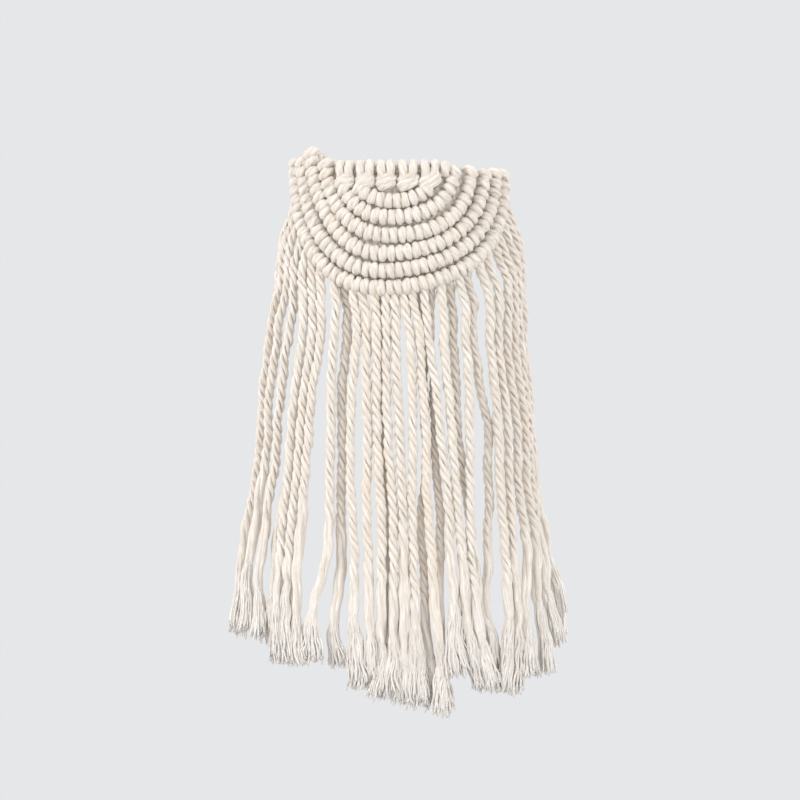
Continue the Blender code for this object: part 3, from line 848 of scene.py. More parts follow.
@dataclass
class HalfMoon:
    """The knotted half-moon, without the bar that carries the fringe."""

    hollow: Hollow
    wraps: Wraps = field(default_factory=Wraps)
    bars: tuple[Bar, ...] = (
        Bar(-4.5, 21.0, 23.0, 18.2, 1.80, 2.25, first=-20.5, last=15.0),
        Bar(-9.0, 20.0, 34.0, 25.2, 1.85, 2.70, first=-28.0),
        Bar(-8.0, 27.0, 41.0, 33.5, 1.95, 2.50),
        Bar(-12.5, 30.7, 53.0, 41.8, 1.70, 2.35),
        Bar(-11.0, 38.0, 59.0, 49.6, 1.90, 2.20),
    )
    heads: tuple[LarksHead, ...] = (
        LarksHead(-25.0, 4.6, tilt=0.2), LarksHead(-15.7, 4.6), LarksHead(-6.3, 4.7),
        LarksHead(3.6, 5.0, lean=0.07, tilt=0.5, leg_spread=2.1),
        LarksHead(13.4, 5.2, tilt=0.7, drop=8.4, leg_spread=2.1),
    )
    first_wrap: Pair = (20.2, -3.2)   # between the last head and its bar
    first_wrap_down: Pair = (0.12, -1.0)
    head_backs: tuple[float, ...] = (-3.2, -7.2, -11.0)
    head_back_proud: float = -1.9
    head_back_points: int = 36
    core: TwistedCord = BAR_CORE
    link_radius: float = 1.6
    link_proud: float = -2.2
    link_reach: Pair = (-5.5, 4.5)    # across the bar, from its middle
    link_points: int = 6
    filler: TwistedCord = TwistedCord(ply_offset=1.05, ply_radius=1.2, pitch=14.5)
    filler_proud: float = -2.9
    filler_beside: float = 3.9
    filler_under: float = 2.5         # the rim

    def build(self, finish: bpy.types.Material, chance: np.random.Generator) -> None:
        """Build the bars, the heads and what lies behind them.

        Args:
            finish: the cotton.
            chance: where the small unevenness comes from.
        """
        lines = [bar.line(self.hollow) for bar in self.bars]
        for number, line in enumerate(lines, start=1):
            mesh = StrandMesh(f"half_moon_bar_{number}", chance)
            self.wraps.lay(mesh, line, self.hollow)
            nodes = ("knotted_panel",) if number == len(lines) else ()
            mesh.finish("knotted_cotton", finish, *nodes)
        heads = StrandMesh("larks_heads", chance)
        for head in self.heads:
            head.lay(heads, self.hollow)
        self.wraps.wrap(heads, self.hollow, self.first_wrap, self.first_wrap_down)
        runs = np.linspace(self.heads[0].run, self.heads[-1].run, self.head_back_points)
        for height in self.head_backs:
            self.filler.lay(heads, self.hollow.place(runs, height, self.head_back_proud))
        heads.finish("knotted_cotton", finish)
        links = StrandMesh("bar_links", chance)
        for line in lines:
            self._link(links, line)
        links.finish("knotted_cotton", finish)

    def _link(self, mesh: StrandMesh, line: Array) -> None:
        """Lay a bar's core, and the cords that pass behind its wraps from bar to bar.

        Args:
            mesh: the piece that the cords belong to.
            line: the bar's middle line.
        """
        core = even(line, CORE_STEP)
        self.core.lay(mesh, self.hollow.place(core[:, 0], core[:, 1], 0.0))
        spots = even(line, self.wraps.pitch)
        across = np.linspace(*self.link_reach, self.link_points)[:, None]
        for spot, normal in zip(spots[1:-1], outward(spots)[1:-1]):
            rows = spot + across * normal
            behind = self.hollow.place(rows[:, 0], rows[:, 1], self.link_proud)
            mesh.strand(behind, self.link_radius)
        for side in Side:
            beside = even(core + side.value * self.filler_beside * outward(core), CORE_STEP)
            highest = [self.hollow.rim(run) - self.filler_under for run in beside[:, 0]]
            heights = np.minimum(beside[:, 1], highest)
            self.filler.lay(mesh, self.hollow.place(beside[:, 0], heights, self.filler_proud))


# ---------------------------------------------------------------- the fringe


@dataclass(frozen=True)
class HangingCord:
    """One cord of the fringe: where it leaves the bar, and where it hangs."""

    along: float               # along the bar, from its lowest place
    across: tuple[float, float, float, float]   # at the fringe's four levels
    tip_x: float
    tip_height: float
    under: int = 0             # how many cords lie over it
    hang: Hang = Hang.FRONT
    brush: float = 1.0         # how far its tip is combed out


@dataclass(frozen=True)
class Route:
    """A cord's turns and depths by how far it has fallen from the top edge."""

    root: Array
    falls: tuple[float, ...]
    turns: tuple[float, ...]
    prouds: tuple[float, ...]


@dataclass(frozen=True)
class Skirt:
    """How far out the fringe hangs, by height."""

    falls: tuple[float, ...] = (-7.5, 14.5, 24.0, 44.5, 62.5, 80.5, 99.5, 126.5, 144.5,
                                171.5, 208.5, 254.5)
    left: tuple[float, ...] = (48.6, 50.4, 52.0, 55.3, 57.1, 59.4, 62.6, 64.0, 66.4,
                               71.6, 75.3, 77.0)
    right: tuple[float, ...] = (48.6, 50.4, 53.0, 55.7, 56.6, 56.9, 59.0, 60.9, 61.8,
                                66.8, 75.5, 77.0)
    depth: tuple[float, ...] = (35.5, 36.2, 36.6, 37.0, 37.5, 38.5, 39.5, 41.5, 43.0,
                                45.5, 48.0, 50.0)

    def at(self, fall: float, side: float) -> Pair:
        """Read how wide and how deep the fringe is.

        Args:
            fall: how far below the top edge.
            side: below 0 for the left side, and from 0 for the right.

        Returns:
            The half width on that side, and the half depth.
        """
        wide = np.interp(fall, self.falls, self.left if side < 0 else self.right)
        return float(wide), float(np.interp(fall, self.falls, self.depth))


@dataclass(frozen=True)
class Loose:
    """Loose fibres round a lock: how many, how thick, and where they start and reach."""

    count: int
    radius: float
    starts: Pair               # shares of the lock's length
    reaches: Pair              # outside the lock, at the tip
    curl: float
    ragged: float              # how unlike their lengths are
    longer: float = 0.3        # than the lock
    flare: float = 1.6         # the power of the share down, by which they reach out
    flat: float = 0.6          # of their reach, out of the fringe's surface
    curls: Pair = (1.2, 4.0)   # a curl's length over 2 pi
    step: float = 1.3
    points: int = 9
    sides: int = 3
    thinner: float = 0.4       # of their radius, at the tip


@dataclass(frozen=True)
class Lock:
    """How a cord ends: its plies untwist and merge, and then brush out into bundles."""

    untwist_from: float = 70.0     # above the tip, where it starts to untwist
    untwist_vary: Pair = (0.75, 1.25)
    untwist_over: float = 24.0
    loose_rate: float = 0.12       # of the cord's twist, once it is untwisted
    close_to: float = 0.85         # of the plies' distance from the middle, then
    swell: float = 1.42            # of the plies' radius, then
    parts: Pair = (13.0, 27.0)     # above the tip, where the bundles part
    parts_brush: float = 1.4       # the most combing that moves that place up
    overlap: float = 4.0           # of the plies, past where the bundles part
    taper_over: float = 10.0       # of the plies' ends
    taper_least: float = 0.05
    hidden: float = 8.0            # of a bundle, inside the plies
    step: float = 1.9              # between a bundle's points
    thick_bundles: int = 9         # in the middle of the lock
    thick_sides: int = 5
    thick_radius: float = 1.15
    thick_short: float = 0.6       # how much shorter they are
    thick_swell: float = 0.3       # of their radius, at the tip
    thick_point: float = 0.7       # of their radius, lost at the very tip
    thick_point_power: int = 14    # of the share down, by which it is lost
    thick_within: float = 0.6      # of the lock's radius
    bundles: int = 36
    bundles_brush: float = 1.6     # the most combing that adds to them
    bundles_from: float = 0.35     # of the lock's section, where they start
    bundle_sides: int = 4
    bundle_radius: float = 0.56
    bundle_taper: float = 0.25     # of their radius, at the tip
    bundle_taper_power: int = 3
    radius_vary: Pair = (0.8, 1.15)
    lock_radius: float = 2.0
    closed: float = 0.4            # of that radius, where the bundles start
    turn_uneven: float = 0.2       # round the lock
    fan_across: float = 2.5        # how much wider the brush is at its tip
    fan_deep: float = 1.2
    fan_vary: Pair = (0.8, 1.25)
    fan_power: float = 1.7         # of the share down, by which it widens
    fan_uneven: Pair = (0.45, 0.3)   # across and deep
    crimp: float = 0.5             # of each ply's bundles, kept from the twist
    crimp_pitch: float = 11.0
    crimp_vary: Pair = (0.85, 1.25)
    wave: float = 0.3
    waves: Pair = (1.8, 5.0)       # a wave's length over 2 pi
    sway: float = 0.5              # of the whole lock, from side to side
    ragged: float = 1.5            # how unlike the bundles' lengths are
    bundle_tint: float = 0.3       # of the cord's, low enough that the bundles get painted light
    # the loose fibres' tint, of the cord's, is low enough for the painted light in full
    loose_tint: float = 0.15
    strays: Loose = Loose(8, 0.2, (0.2, 0.7), (0.2, 2.0), 0.7, 1.4)
    tuft: Loose = Loose(26, 0.3, (0.8, 0.94), (-1.9, 1.6), 1.3, 1.4)


@dataclass
class Fringe:
    """The sixth bar with all of the hanging cords."""

    hollow: Hollow
    inner_bar: Bar
    cords: tuple[HangingCord, ...]
    wraps: Wraps = field(default_factory=Wraps)
    skirt: Skirt = field(default_factory=Skirt)
    lock: Lock = field(default_factory=Lock)
    cord: TwistedCord = TwistedCord(ply_offset=1.18, ply_radius=1.06, pitch=14.5)
    core: TwistedCord = BAR_CORE
    pitch_vary: Pair = (0.94, 1.08)
    offset_vary: Pair = (0.9, 1.16)    # of each ply
    radius_vary: Pair = (0.92, 1.14)
    path_step: float = 1.2
    path_rounding: tuple[int, int] = (3, 2)   # points to each side, at two spacings
    kink: float = 0.22             # how far the twist throws the cord from side to side
    kinks: Pair = (2.0, 3.4)       # a kink's length over 2 pi
    kink_from: float = 12.0        # down the cord
    wave: float = 0.25             # of the whole cord, from side to side
    waves: Pair = (5.0, 9.0)       # a wave's length over 2 pi
    wave_from: float = 20.0        # down the cord
    lump: float = 0.08             # of the plies' radius
    lumps: Pair = (2.0, 4.0)       # a lump's length over 2 pi
    tint: Pair = (0.6, 0.2)        # the mean and the spread
    warm_over: float = 70.0        # above the tip, where the colour turns warm; below it the tint falls towards the tip, paler and then with painted light
    tip_tint: float = 0.15         # of the cord's, low enough that the tip gets painted light
    bar_pitch: float = 7.8
    levels: tuple[float, ...] = (-80.5, -126.5, -171.5, -208.5)
    cord_room: float = 2.1         # round a cord's middle
    lock_room: float = 2.5
    untwist_top: float = -154.5    # the heights between which that room grows
    untwist_bottom: float = -219.5
    layer: float = 4.3             # from a cord to one that lies over it
    slice_height: float = 3.0
    apart_rounds: int = 60         # in which the cords of a slice push each other away
    apart_push: float = 0.25       # of what is short, each time
    roots_from_run: float = -5.5   # of the bar's lowest place
    root_spacing: float = 3.0
    root_rounds: int = 200
    root_out: float = 3.8          # from the bar's middle, where a cord leaves it
    root_fall: float = 3.0
    settle_fall: float = 16.0      # over which a cord comes to hang as the skirt does
    shift_kept: float = 0.95       # from one slice to the next

    def build(self, finish: bpy.types.Material, chance: np.random.Generator) -> None:
        """Build the bar and each cord.

        Args:
            finish: the cotton.
            chance: where the small unevenness comes from.
        """
        bar = self.bar_line()
        mesh = StrandMesh("fringe_bar", chance)
        self.wraps.lay(mesh, bar, self.hollow)
        core = even(bar, CORE_STEP)
        self.core.lay(mesh, self.hollow.place(core[:, 0], core[:, 1], 0.0))
        mesh.finish("fringe_cotton", finish, "fringe")
        for number, (cord, path) in enumerate(zip(self.cords, self.paths(bar)), start=1):
            piece = StrandMesh(f"hanging_cord_{number:02d}", chance)
            self.hang(piece, path, cord.brush)
            piece.finish("fringe_cotton", finish)

    def bar_line(self) -> Array:
        """Draw the sixth bar's middle line, just outside the fifth.

        Returns:
            Rows of run and height, from left to right.
        """
        line = self.inner_bar.line(self.hollow)
        return even(line + self.bar_pitch * outward(line), 0.5 * self.wraps.pitch)

    def spread_roots(self) -> Array:
        """Move the cords' places along the bar so that none are too close.

        Returns:
            One place along the bar for each cord.
        """
        places = np.array([c.along for c in self.cords], float)
        for _ in range(self.root_rounds):
            short = np.maximum(self.root_spacing - np.diff(places), 0.0) / 2.0
            places[:-1] -= short
            places[1:] += short
        return places

    def turn_at(self, x: float, height: float, hang: Hang) -> float:
        """Find the turn at which a cord hangs.

        Args:
            x: its place across the front.
            height: the height there.
            hang: before or past the widest place.

        Returns:
            The turn from the front middle.
        """
        wide = self.skirt.at(-height, x)[0]
        turn = math.asin(min(abs(x) / wide, 1.0) ** (self.hollow.squareness / 2.0))
        return math.copysign(math.pi - turn if hang is Hang.BEHIND else turn, x)

    def route(self, cord: HangingCord, along: float, bar: Array) -> Route:
        """Work out a cord's route from the bar to its tip.

        On the left the cords fall straight from the bar, and on the right they swing out.

        Args:
            cord: the cord.
            along: its place along the bar.
            bar: the bar's middle line.

        Returns:
            The route.
        """
        lengths = lengths_of(bar)
        middle = lengths[int(np.abs(bar[:, 0] - self.roots_from_run).argmin())]
        index = int(np.abs(lengths - middle - along).argmin())
        run, height = bar[index]
        out_run, out_height = outward(bar)[index]
        inset = -self.layer * cord.under
        falls = [-height, max(self.root_out * -out_height, self.root_fall) - height]
        turns = [float(self.hollow.turn_of(run)),
                 float(self.hollow.turn_of(run + self.root_out * out_run * abs(out_run)))]
        prouds = [0.0, inset]
        if cord.across[0] < 0.0 and cord.hang is Hang.FRONT:
            exit_x = self.hollow.section(turns[1], self.hollow.half_width,
                                         self.hollow.half_depth)[0]
            falls.append(0.5 * (falls[1] - self.levels[0]))
            turns.append(self.turn_at(0.5 * (exit_x + cord.across[0]), -falls[-1], cord.hang))
            prouds.append(inset)
        spots = [(level, x) for level, x in zip(self.levels, cord.across)
                 if level > cord.tip_height]
        for level, x in spots + [(cord.tip_height, cord.tip_x)]:
            falls.append(-level)
            turns.append(self.turn_at(x, level, cord.hang))
            prouds.append(inset)
        root = self.hollow.place(run, height, 0.0)
        return Route(root, tuple(falls), tuple(turns), tuple(prouds))

    def spot_of(self, route: Route, fall: float) -> Array:
        """Find where a route means to be, before the cords are kept apart.

        Args:
            route: the cord's route.
            fall: how far below the top edge.

        Returns:
            The point's x and y.
        """
        turn = smooth(route.falls, route.turns, fall)
        settled = min((fall - route.falls[1]) / self.settle_fall, 1.0)
        wide, deep = self.skirt.at(fall, turn)
        wide = self.hollow.half_width + settled * (wide - self.hollow.half_width)
        deep = self.hollow.half_depth + settled * (deep - self.hollow.half_depth)
        proud = float(np.interp(fall, route.falls, route.prouds))
        return self.hollow.section(turn, wide, deep, proud) + (0.0, self.hollow.middle_y)

    def paths(self, bar: Array) -> list[Array]:
        """Hang the cords, kept apart at each slice of height.

        Args:
            bar: the bar's middle line.

        Returns:
            Each cord's points, from its root to its tip.
        """
        routes = [self.route(c, a, bar) for c, a in zip(self.cords, self.spread_roots())]
        paths = [[route.root] for route in routes]
        shift = np.zeros((len(routes), 2))
        step = self.slice_height
        for fall in np.arange(step, max(r.falls[-1] for r in routes) + step, step):
            here = [i for i, r in enumerate(routes) if r.falls[1] <= fall < r.falls[-1] + step]
            if not here:
                continue
            falls = [min(fall, routes[i].falls[-1]) for i in here]
            goals = np.array([self.spot_of(routes[i], f) for i, f in zip(here, falls)])
            places = self.keep_apart(goals + self.shift_kept * shift[here], fall)
            shift[here] = places - goals
            for i, f, (x, y) in zip(here, falls, places):
                paths[i].append(np.array([x, y, self.hollow.top_edge - f]))
        return [np.array(path) for path in paths]

    def keep_apart(self, places: Array, fall: float) -> Array:
        """Push cords that are too close away from each other.

        Args:
            places: rows of x and y.
            fall: the slice's fall from the top edge.

        Returns:
            The places, moved.
        """
        share = (self.untwist_top + fall) / (self.untwist_top - self.untwist_bottom)
        room = self.cord_room + (self.lock_room - self.cord_room) * min(max(share, 0.0), 1.0)
        for _ in range(self.apart_rounds):
            between = places[:, None] - places[None]
            distance = np.linalg.norm(between, axis=2) + TINY
            short = np.maximum(2.0 * room - distance, 0.0)
            np.fill_diagonal(short, 0.0)
            push = (between / distance[..., None] * short[..., None]).sum(axis=1)
            places = places + self.apart_push * push
        return places

    def swayed(self, mesh: StrandMesh, path: Array) -> Array:
        """Give a cord the slow waves and the kinks of limp twisted cotton.

        Args:
            mesh: the piece that the cord belongs to.
            path: its points from the root to the tip.

        Returns:
            The points of its middle, about one step apart.
        """
        chance = mesh.chance
        line = rounded(even(path, 1.0), self.path_rounding[0])
        line = rounded(even(line, self.path_step), self.path_rounding[1])
        down = lengths_of(line)
        near_tip = np.clip(1.0 - (down[-1] - down) / self.lock.untwist_from, 0.0, 1.0)
        size = self.wave * np.clip(down / self.wave_from, 0.0, 1.0) + self.lock.sway * near_tip
        for axis in (0, 1):
            waves = np.sin(down / chance.uniform(*self.waves) + mesh.any_turn())
            line[:, axis] += chance.normal(0.0, 1.0) * waves * size
            kinks = np.sin(down / chance.uniform(*self.kinks) + mesh.any_turn())
            line[:, axis] += self.kink * kinks * np.clip(down / self.kink_from, 0.0, 1.0)
        return line

    def hang(self, mesh: StrandMesh, path: Array, brush: float) -> None:
        """Lay one cord: twisted above, untwisted and brushed out at its tip.

        Args:
            mesh: the piece that the cord belongs to.
            path: its points from the root to the tip.
            brush: how far its tip is combed out.
        """
        lock, chance = self.lock, mesh.chance
        line = self.swayed(mesh, path)
        down = lengths_of(line)
        left = down[-1] - down
        start = lock.untwist_from * chance.uniform(*lock.untwist_vary)
        loose = ease(np.clip((start - left) / lock.untwist_over, 0.0, 1.0))
        rate = math.tau / (self.cord.pitch * chance.uniform(*self.pitch_vary))
        rates = rate * (1.0 - (1.0 - lock.loose_rate) * loose)
        angles = mesh.any_turn() - np.concatenate(
            [[0.0], np.cumsum(0.5 * (rates[1:] + rates[:-1]) * np.diff(down))])
        uneven = 1.0 + self.lump * np.sin(down / chance.uniform(*self.lumps))
        offsets = self.cord.ply_offset * (1.0 - (1.0 - lock.close_to) * loose)
        radii = self.cord.ply_radius * (1.0 + (lock.swell - 1.0) * loose) * uneven
        tint = mesh.any_tint(*self.tint)
        # Paler towards the tip; where the tint falls low enough, the finish paints light on.
        tints = tint * np.clip(left / self.warm_over, self.tip_tint, 1.0)
        part = chance.uniform(*lock.parts) * min(brush, lock.parts_brush)
        shown = left > part - lock.overlap
        past = left[shown] - part + lock.overlap
        taper = np.sqrt(np.clip(past / lock.taper_over, lock.taper_least, 1.0))
        for ply in range(self.cord.plies):
            own = wound(line, angles + math.tau * ply / self.cord.plies,
                        offsets * chance.uniform(*self.offset_vary))
            thickness = radii[shown] * taper * chance.uniform(*self.radius_vary)
            mesh.strand(own[shown], thickness, self.cord.sides, tints[shown])
        brushed = line[left < part + lock.hidden]
        self._bundles(mesh, brushed, brush, lock.bundle_tint * tint)
        for fibres in (lock.strays, lock.tuft):
            self._loose(mesh, brushed, fibres, lock.loose_tint * tint)

    def _bundles(self, mesh: StrandMesh, line: Array, brush: float, tint: float) -> None:
        """Brush the end of a lock out into bundles.

        Args:
            mesh: the piece that the cord belongs to.
            line: the lock's points, from where the bundles start.
            brush: how far it is combed out.
            tint: how warm its colour is.
        """
        lock, chance = self.lock, mesh.chance
        line = even(line, lock.step)
        along, outside = self._sideways(line)
        down = lengths_of(line)
        share = down / down[-1]
        fan = share ** lock.fan_power
        spread = ease(np.clip(down / (lock.hidden + lock.overlap), 0.0, 1.0))
        opened = lock.closed + (1.0 - lock.closed) * spread
        wider = brush * chance.uniform(*lock.fan_vary)
        fine = round(lock.bundles * min(brush, lock.bundles_brush))
        swing = math.tau * down / (lock.crimp_pitch * chance.uniform(*lock.crimp_vary))
        swing = swing + mesh.any_turn()
        thick_radii = (lock.thick_radius * (1.0 + lock.thick_swell * share)
                       * (1.0 - lock.thick_point * share ** lock.thick_point_power))
        fine_radii = lock.bundle_radius * (
            1.0 - lock.bundle_taper * share ** lock.bundle_taper_power)
        for index in range(lock.thick_bundles + fine):
            thick = index < lock.thick_bundles
            angle = index * GOLDEN_ANGLE + chance.normal(0.0, lock.turn_uneven)
            if thick:
                place = index / lock.thick_bundles
                reach = lock.thick_within * lock.lock_radius * math.sqrt(place)
            else:
                place = (index - lock.thick_bundles + 0.5) / fine
                place = lock.bundles_from + (1.0 - lock.bundles_from) * place
                reach = lock.lock_radius * math.sqrt(place)
            x, y = reach * math.cos(angle), reach * math.sin(angle)
            uneven_x, uneven_y = chance.normal(0.0, lock.fan_uneven)
            grown_x = lock.fan_across * wider * x / lock.lock_radius + uneven_x
            grown_y = lock.fan_deep * y / lock.lock_radius + uneven_y
            wave = chance.normal(0.0, lock.wave) * np.sin(down / chance.uniform(*lock.waves)
                                                          + mesh.any_turn())
            crimp = lock.crimp * spread * np.sin(swing + math.tau * (index % 3) / 3.0)
            aside = x * opened + grown_x * fan + wave * share + crimp
            out = y * opened + grown_y * fan
            path = line + aside[:, None] * along + out[:, None] * outside
            longer = chance.normal(-lock.thick_short if thick else 0.0, lock.ragged)
            path = self._longer(path, np.linspace(0.0, lengths_of(path)[-1] + longer, len(path)))
            radii = (thick_radii if thick else fine_radii) * chance.uniform(*lock.radius_vary)
            sides = lock.thick_sides if thick else lock.bundle_sides
            # Painted light: the tint falls to 0 at each bundle's tip, so the ends are painted
            # lighter to make up for the shade among the thin bundles.
            mesh.strand(path, radii, sides, tint * (1.0 - share))

    def _sideways(self, line: Array) -> tuple[Array, Array]:
        """Find the directions along and out of the fringe's surface at a lock.

        Args:
            line: the lock's points.

        Returns:
            The two directions, as arrays of unit rows.
        """
        ahead = unit(np.gradient(line, axis=0))
        outside = line - (0.0, self.hollow.middle_y, 0.0)
        outside[:, 2] = 0.0
        along = unit(np.cross(ahead, unit(outside)))
        return along, np.cross(along, ahead)

    @staticmethod
    def _longer(path: Array, reads: Array) -> Array:
        """Read a path at given distances, going straight on past its end.

        Args:
            path: points, one a row.
            reads: increasing distances.

        Returns:
            The points there.
        """
        total = lengths_of(path)[-1]
        past = np.maximum(reads - total, 0.0)[:, None]
        return read_line(path, np.minimum(reads, total)) + past * unit(path[-1] - path[-3])

    def _loose(self, mesh: StrandMesh, line: Array, fibres: Loose, tint: float) -> None:
        """Lay loose fibres round the end of a lock.

        Args:
            mesh: the piece that the cord belongs to.
            line: the lock's points, from where the bundles start.
            fibres: the kind of loose fibres.
            tint: how warm its colour is.
        """
        chance = mesh.chance
        line = even(line, fibres.step)
        along, outside = self._sideways(line)
        down = lengths_of(line)
        share = down / down[-1]
        for _ in range(fibres.count):
            angle = mesh.any_turn()
            reach = self.lock.lock_radius + chance.uniform(*fibres.reaches) * share ** fibres.flare
            curl = chance.normal(0.0, fibres.curl) * np.sin(down / chance.uniform(*fibres.curls))
            path = (line + (reach * math.cos(angle) + curl * share)[:, None] * along
                    + (fibres.flat * reach * math.sin(angle))[:, None] * outside)
            total = lengths_of(path)[-1] + chance.normal(fibres.longer, fibres.ragged)
            first = chance.uniform(*fibres.starts) * total
            path = self._longer(path, np.linspace(first, total, fibres.points))
            radii = fibres.radius * np.linspace(1.0, fibres.thinner, fibres.points)
            mesh.strand(path, radii, fibres.sides, tint)


# ---------------------------------------------------------------- the tie cords


@dataclass
class TieCord:
    """One end of the holding cord, with the binding and the loop at its end."""

    name: str
    side: Side
    route: tuple[tuple[float, float, float], ...]
    hollow: Hollow
    start_run: float = 59.9
    start_proud: float = -2.5
    rope: TwistedCord = TwistedCord(ply_offset=0.78, ply_radius=1.0, pitch=15.0)
    strand_offset: float = 1.55
    strand_pitch: float = 24.0
    binding_cord: TwistedCord = TwistedCord(ply_offset=0.45, ply_radius=1.0, pitch=15.0)
    binding_radius: float = 2.85
    binding_turns: int = 4
    binding_pitch: float = 2.6
    binding_back: float = 2.4      # of its start, from the rope's end
    binding_steps: int = 28
    loop_half_height: float = 8.6
    loop_length: float = 11.0
    loop_pinch: float = 0.55
    loop_neck: float = 1.5         # how much longer the half towards the binding is
    loop_steps: int = 72
    path_step: float = 1.3
    end_points: int = 6            # of the path, that give the way it ends

    def build(self, finish: bpy.types.Material, chance: np.random.Generator) -> None:
        """Build the cord as one piece.

        Args:
            finish: the cotton.
            chance: where the small unevenness comes from.
        """
        mesh = StrandMesh(self.name + "_twisted", chance)
        path = self.path()
        angles = -math.tau * lengths_of(path) / self.strand_pitch
        for half in (0.0, math.pi):
            self.rope.lay(mesh, wound(path, angles + half, self.strand_offset), mesh.any_turn())
        self._binding(mesh, path)
        self._loop(mesh, float(path[-1][1]))
        mesh.finish("cord_cotton", finish, self.name)

    def path(self) -> Array:
        """Draw the rope's middle, from inside the half-moon's end to the loop.

        Returns:
            The points, about one step apart.
        """
        start = self.hollow.place(self.side.value * self.start_run,
                                  self.route[0][2] - self.hollow.top_edge, self.start_proud)
        points = np.array([start, *self.route], float)
        along = lengths_of(points)
        reads = np.linspace(0.0, along[-1], int(round(along[-1] / self.path_step)) + 1)
        return np.array([[smooth(along, points[:, k], r) for k in range(3)] for r in reads])

    def _binding(self, mesh: StrandMesh, path: Array) -> None:
        """Wrap the end of the rope.

        Args:
            mesh: the piece that the binding belongs to.
            path: the rope's middle.
        """
        ahead = unit(path[-1] - path[-self.end_points])
        side = unit(np.cross(ahead, (0.0, 0.0, 1.0)))
        circle = self.binding_radius * turned(side, np.cross(side, ahead),
                                              full_turn(self.binding_steps))
        for turn in range(self.binding_turns):
            centre = path[-1] + ahead * ((turn + 0.5) * self.binding_pitch - self.binding_back)
            self.binding_cord.lay_ring(mesh, centre + circle, mesh.any_turn())

    def _loop(self, mesh: StrandMesh, y: float) -> None:
        """Lay the loop that goes over the hook.

        Args:
            mesh: the piece that the loop belongs to.
            y: the depth of the loop's plane.
        """
        around = full_turn(self.loop_steps)
        outer = np.cos(around) > 0.0
        pinch = np.where(outer, 1.0, 1.0 - self.loop_pinch * np.cos(around) ** 2)
        stretch = np.where(outer, 1.0, self.loop_neck)
        x = -self.side.value * self.loop_length * np.cos(around) * stretch
        z = self.loop_half_height * np.sin(around) * pinch
        ring = np.stack([x, np.full_like(x, y), z], axis=1)
        self.rope.lay_ring(mesh, ring, mesh.any_turn())


# ---------------------------------------------------------------- the studio


@dataclass(frozen=True)
class Lamp:
    """A soft square light, with its power in watts."""

    name: str
    place: tuple[float, float, float]
    width: float
    power: float
    colour: Colour


@dataclass(frozen=True)
class Studio:
    """A pale floor, soft light and the camera, which looks level at the front."""

    camera_distance: float = 2482.0
    camera_height: float = -100.1
    lens: float = 237.6
    sensor: float = 36.0
    farthest_m: float = 30.0
    floor_height: float = -1250.0
    floor_half: float = 3500.0
    floor_roughness: float = 0.9
    backdrop: Colour = (0.79, 0.80, 0.81)
    floor: Colour = (0.66, 0.66, 0.66)   # looks like the backdrop under this light
    ambient: float = 1.4
    aim: tuple[float, float, float] = (0.0, -50.0, -110.0)
    lamps: tuple[Lamp, ...] = (
        Lamp("key", (-1550.0, -1000.0, 750.0), 1000.0, 20.0, (1.0, 0.99, 0.98)),
        Lamp("fill", (1300.0, -1100.0, 200.0), 1400.0, 9.5, (0.99, 0.99, 1.0)),
        Lamp("back", (500.0, 1800.0, 700.0), 1400.0, 14.0, (1.0, 0.99, 0.98)),
    )

    def build(self) -> None:
        """Build the whole studio."""
        self._camera()
        self._floor()
        self._world()
        for lamp in self.lamps:
            self._light(lamp)

    def _camera(self) -> None:
        """Place the camera."""
        data = bpy.data.cameras.new("camera")
        data.lens = self.lens
        data.sensor_width = self.sensor
        data.clip_end = self.farthest_m
        camera = bpy.data.objects.new("camera", data)
        camera.location = (0.0, -self.camera_distance * MM, self.camera_height * MM)
        camera.rotation_euler = (0.5 * math.pi, 0.0, 0.0)
        bpy.context.scene.collection.objects.link(camera)
        bpy.context.scene.camera = camera

    def _floor(self) -> None:
        """Lay the plain pale floor, far below the hanging tieback."""
        bm = bmesh.new()
        bmesh.ops.create_grid(bm, x_segments=1, y_segments=1, size=self.floor_half * MM)
        bmesh.ops.translate(bm, vec=(0.0, 0.0, self.floor_height * MM), verts=bm.verts)
        data = bpy.data.meshes.new("floor")
        bm.to_mesh(data)
        bm.free()
        pale = bpy.data.materials.new("pale_floor")
        pale.use_nodes = True
        set_inputs(pale.node_tree.nodes["Principled BSDF"], {
            "Base Color": (*self.floor, 1.0), "Roughness": self.floor_roughness})
        data.materials.append(pale)
        floor = bpy.data.objects.new("floor", data)
        bpy.context.scene.collection.objects.link(floor)

    def _world(self) -> None:
        """Light everything softly from all round."""
        world = bpy.data.worlds.new("studio")
        world.use_nodes = True
        tree = world.node_tree
        colour = (*self.backdrop, 1.0)
        soft = set_inputs(tree.nodes["Background"], {"Color": colour, "Strength": self.ambient})
        seen = add_node(tree, "ShaderNodeBackground", {"Color": colour})
        ray = add_node(tree, "ShaderNodeLightPath", {})
        choice = add_node(tree, "ShaderNodeMixShader", {
            "Fac": ray.outputs["Is Camera Ray"], 1: soft.outputs["Background"],
            2: seen.outputs["Background"]})
        set_inputs(tree.nodes["World Output"], {"Surface": choice.outputs["Shader"]})
        bpy.context.scene.world = world
        bpy.context.scene.view_settings.view_transform = "Standard"

    def _light(self, lamp: Lamp) -> None:
        """Hang one soft light, turned towards the tieback.

        Args:
            lamp: the light.
        """
        data = bpy.data.lights.new(lamp.name, "AREA")
        data.size = lamp.width * MM
        data.energy = lamp.power
        data.color = lamp.colour
        light = bpy.data.objects.new(lamp.name, data)
        where = np.array(lamp.place) * MM
        light.location = where
        away = where - np.array(self.aim) * MM
        light.rotation_euler = (math.atan2(math.hypot(away[0], away[1]), away[2]), 0.0,
                                math.atan2(away[1], away[0]) + 0.5 * math.pi)
        bpy.context.scene.collection.objects.link(light)


# ---------------------------------------------------------------- the tieback's values

CREAM = CottonFinish("cream_cotton", light=(0.92, 0.885, 0.845), shade=(0.76, 0.67, 0.575),
                     warm=(0.90, 0.77, 0.63))

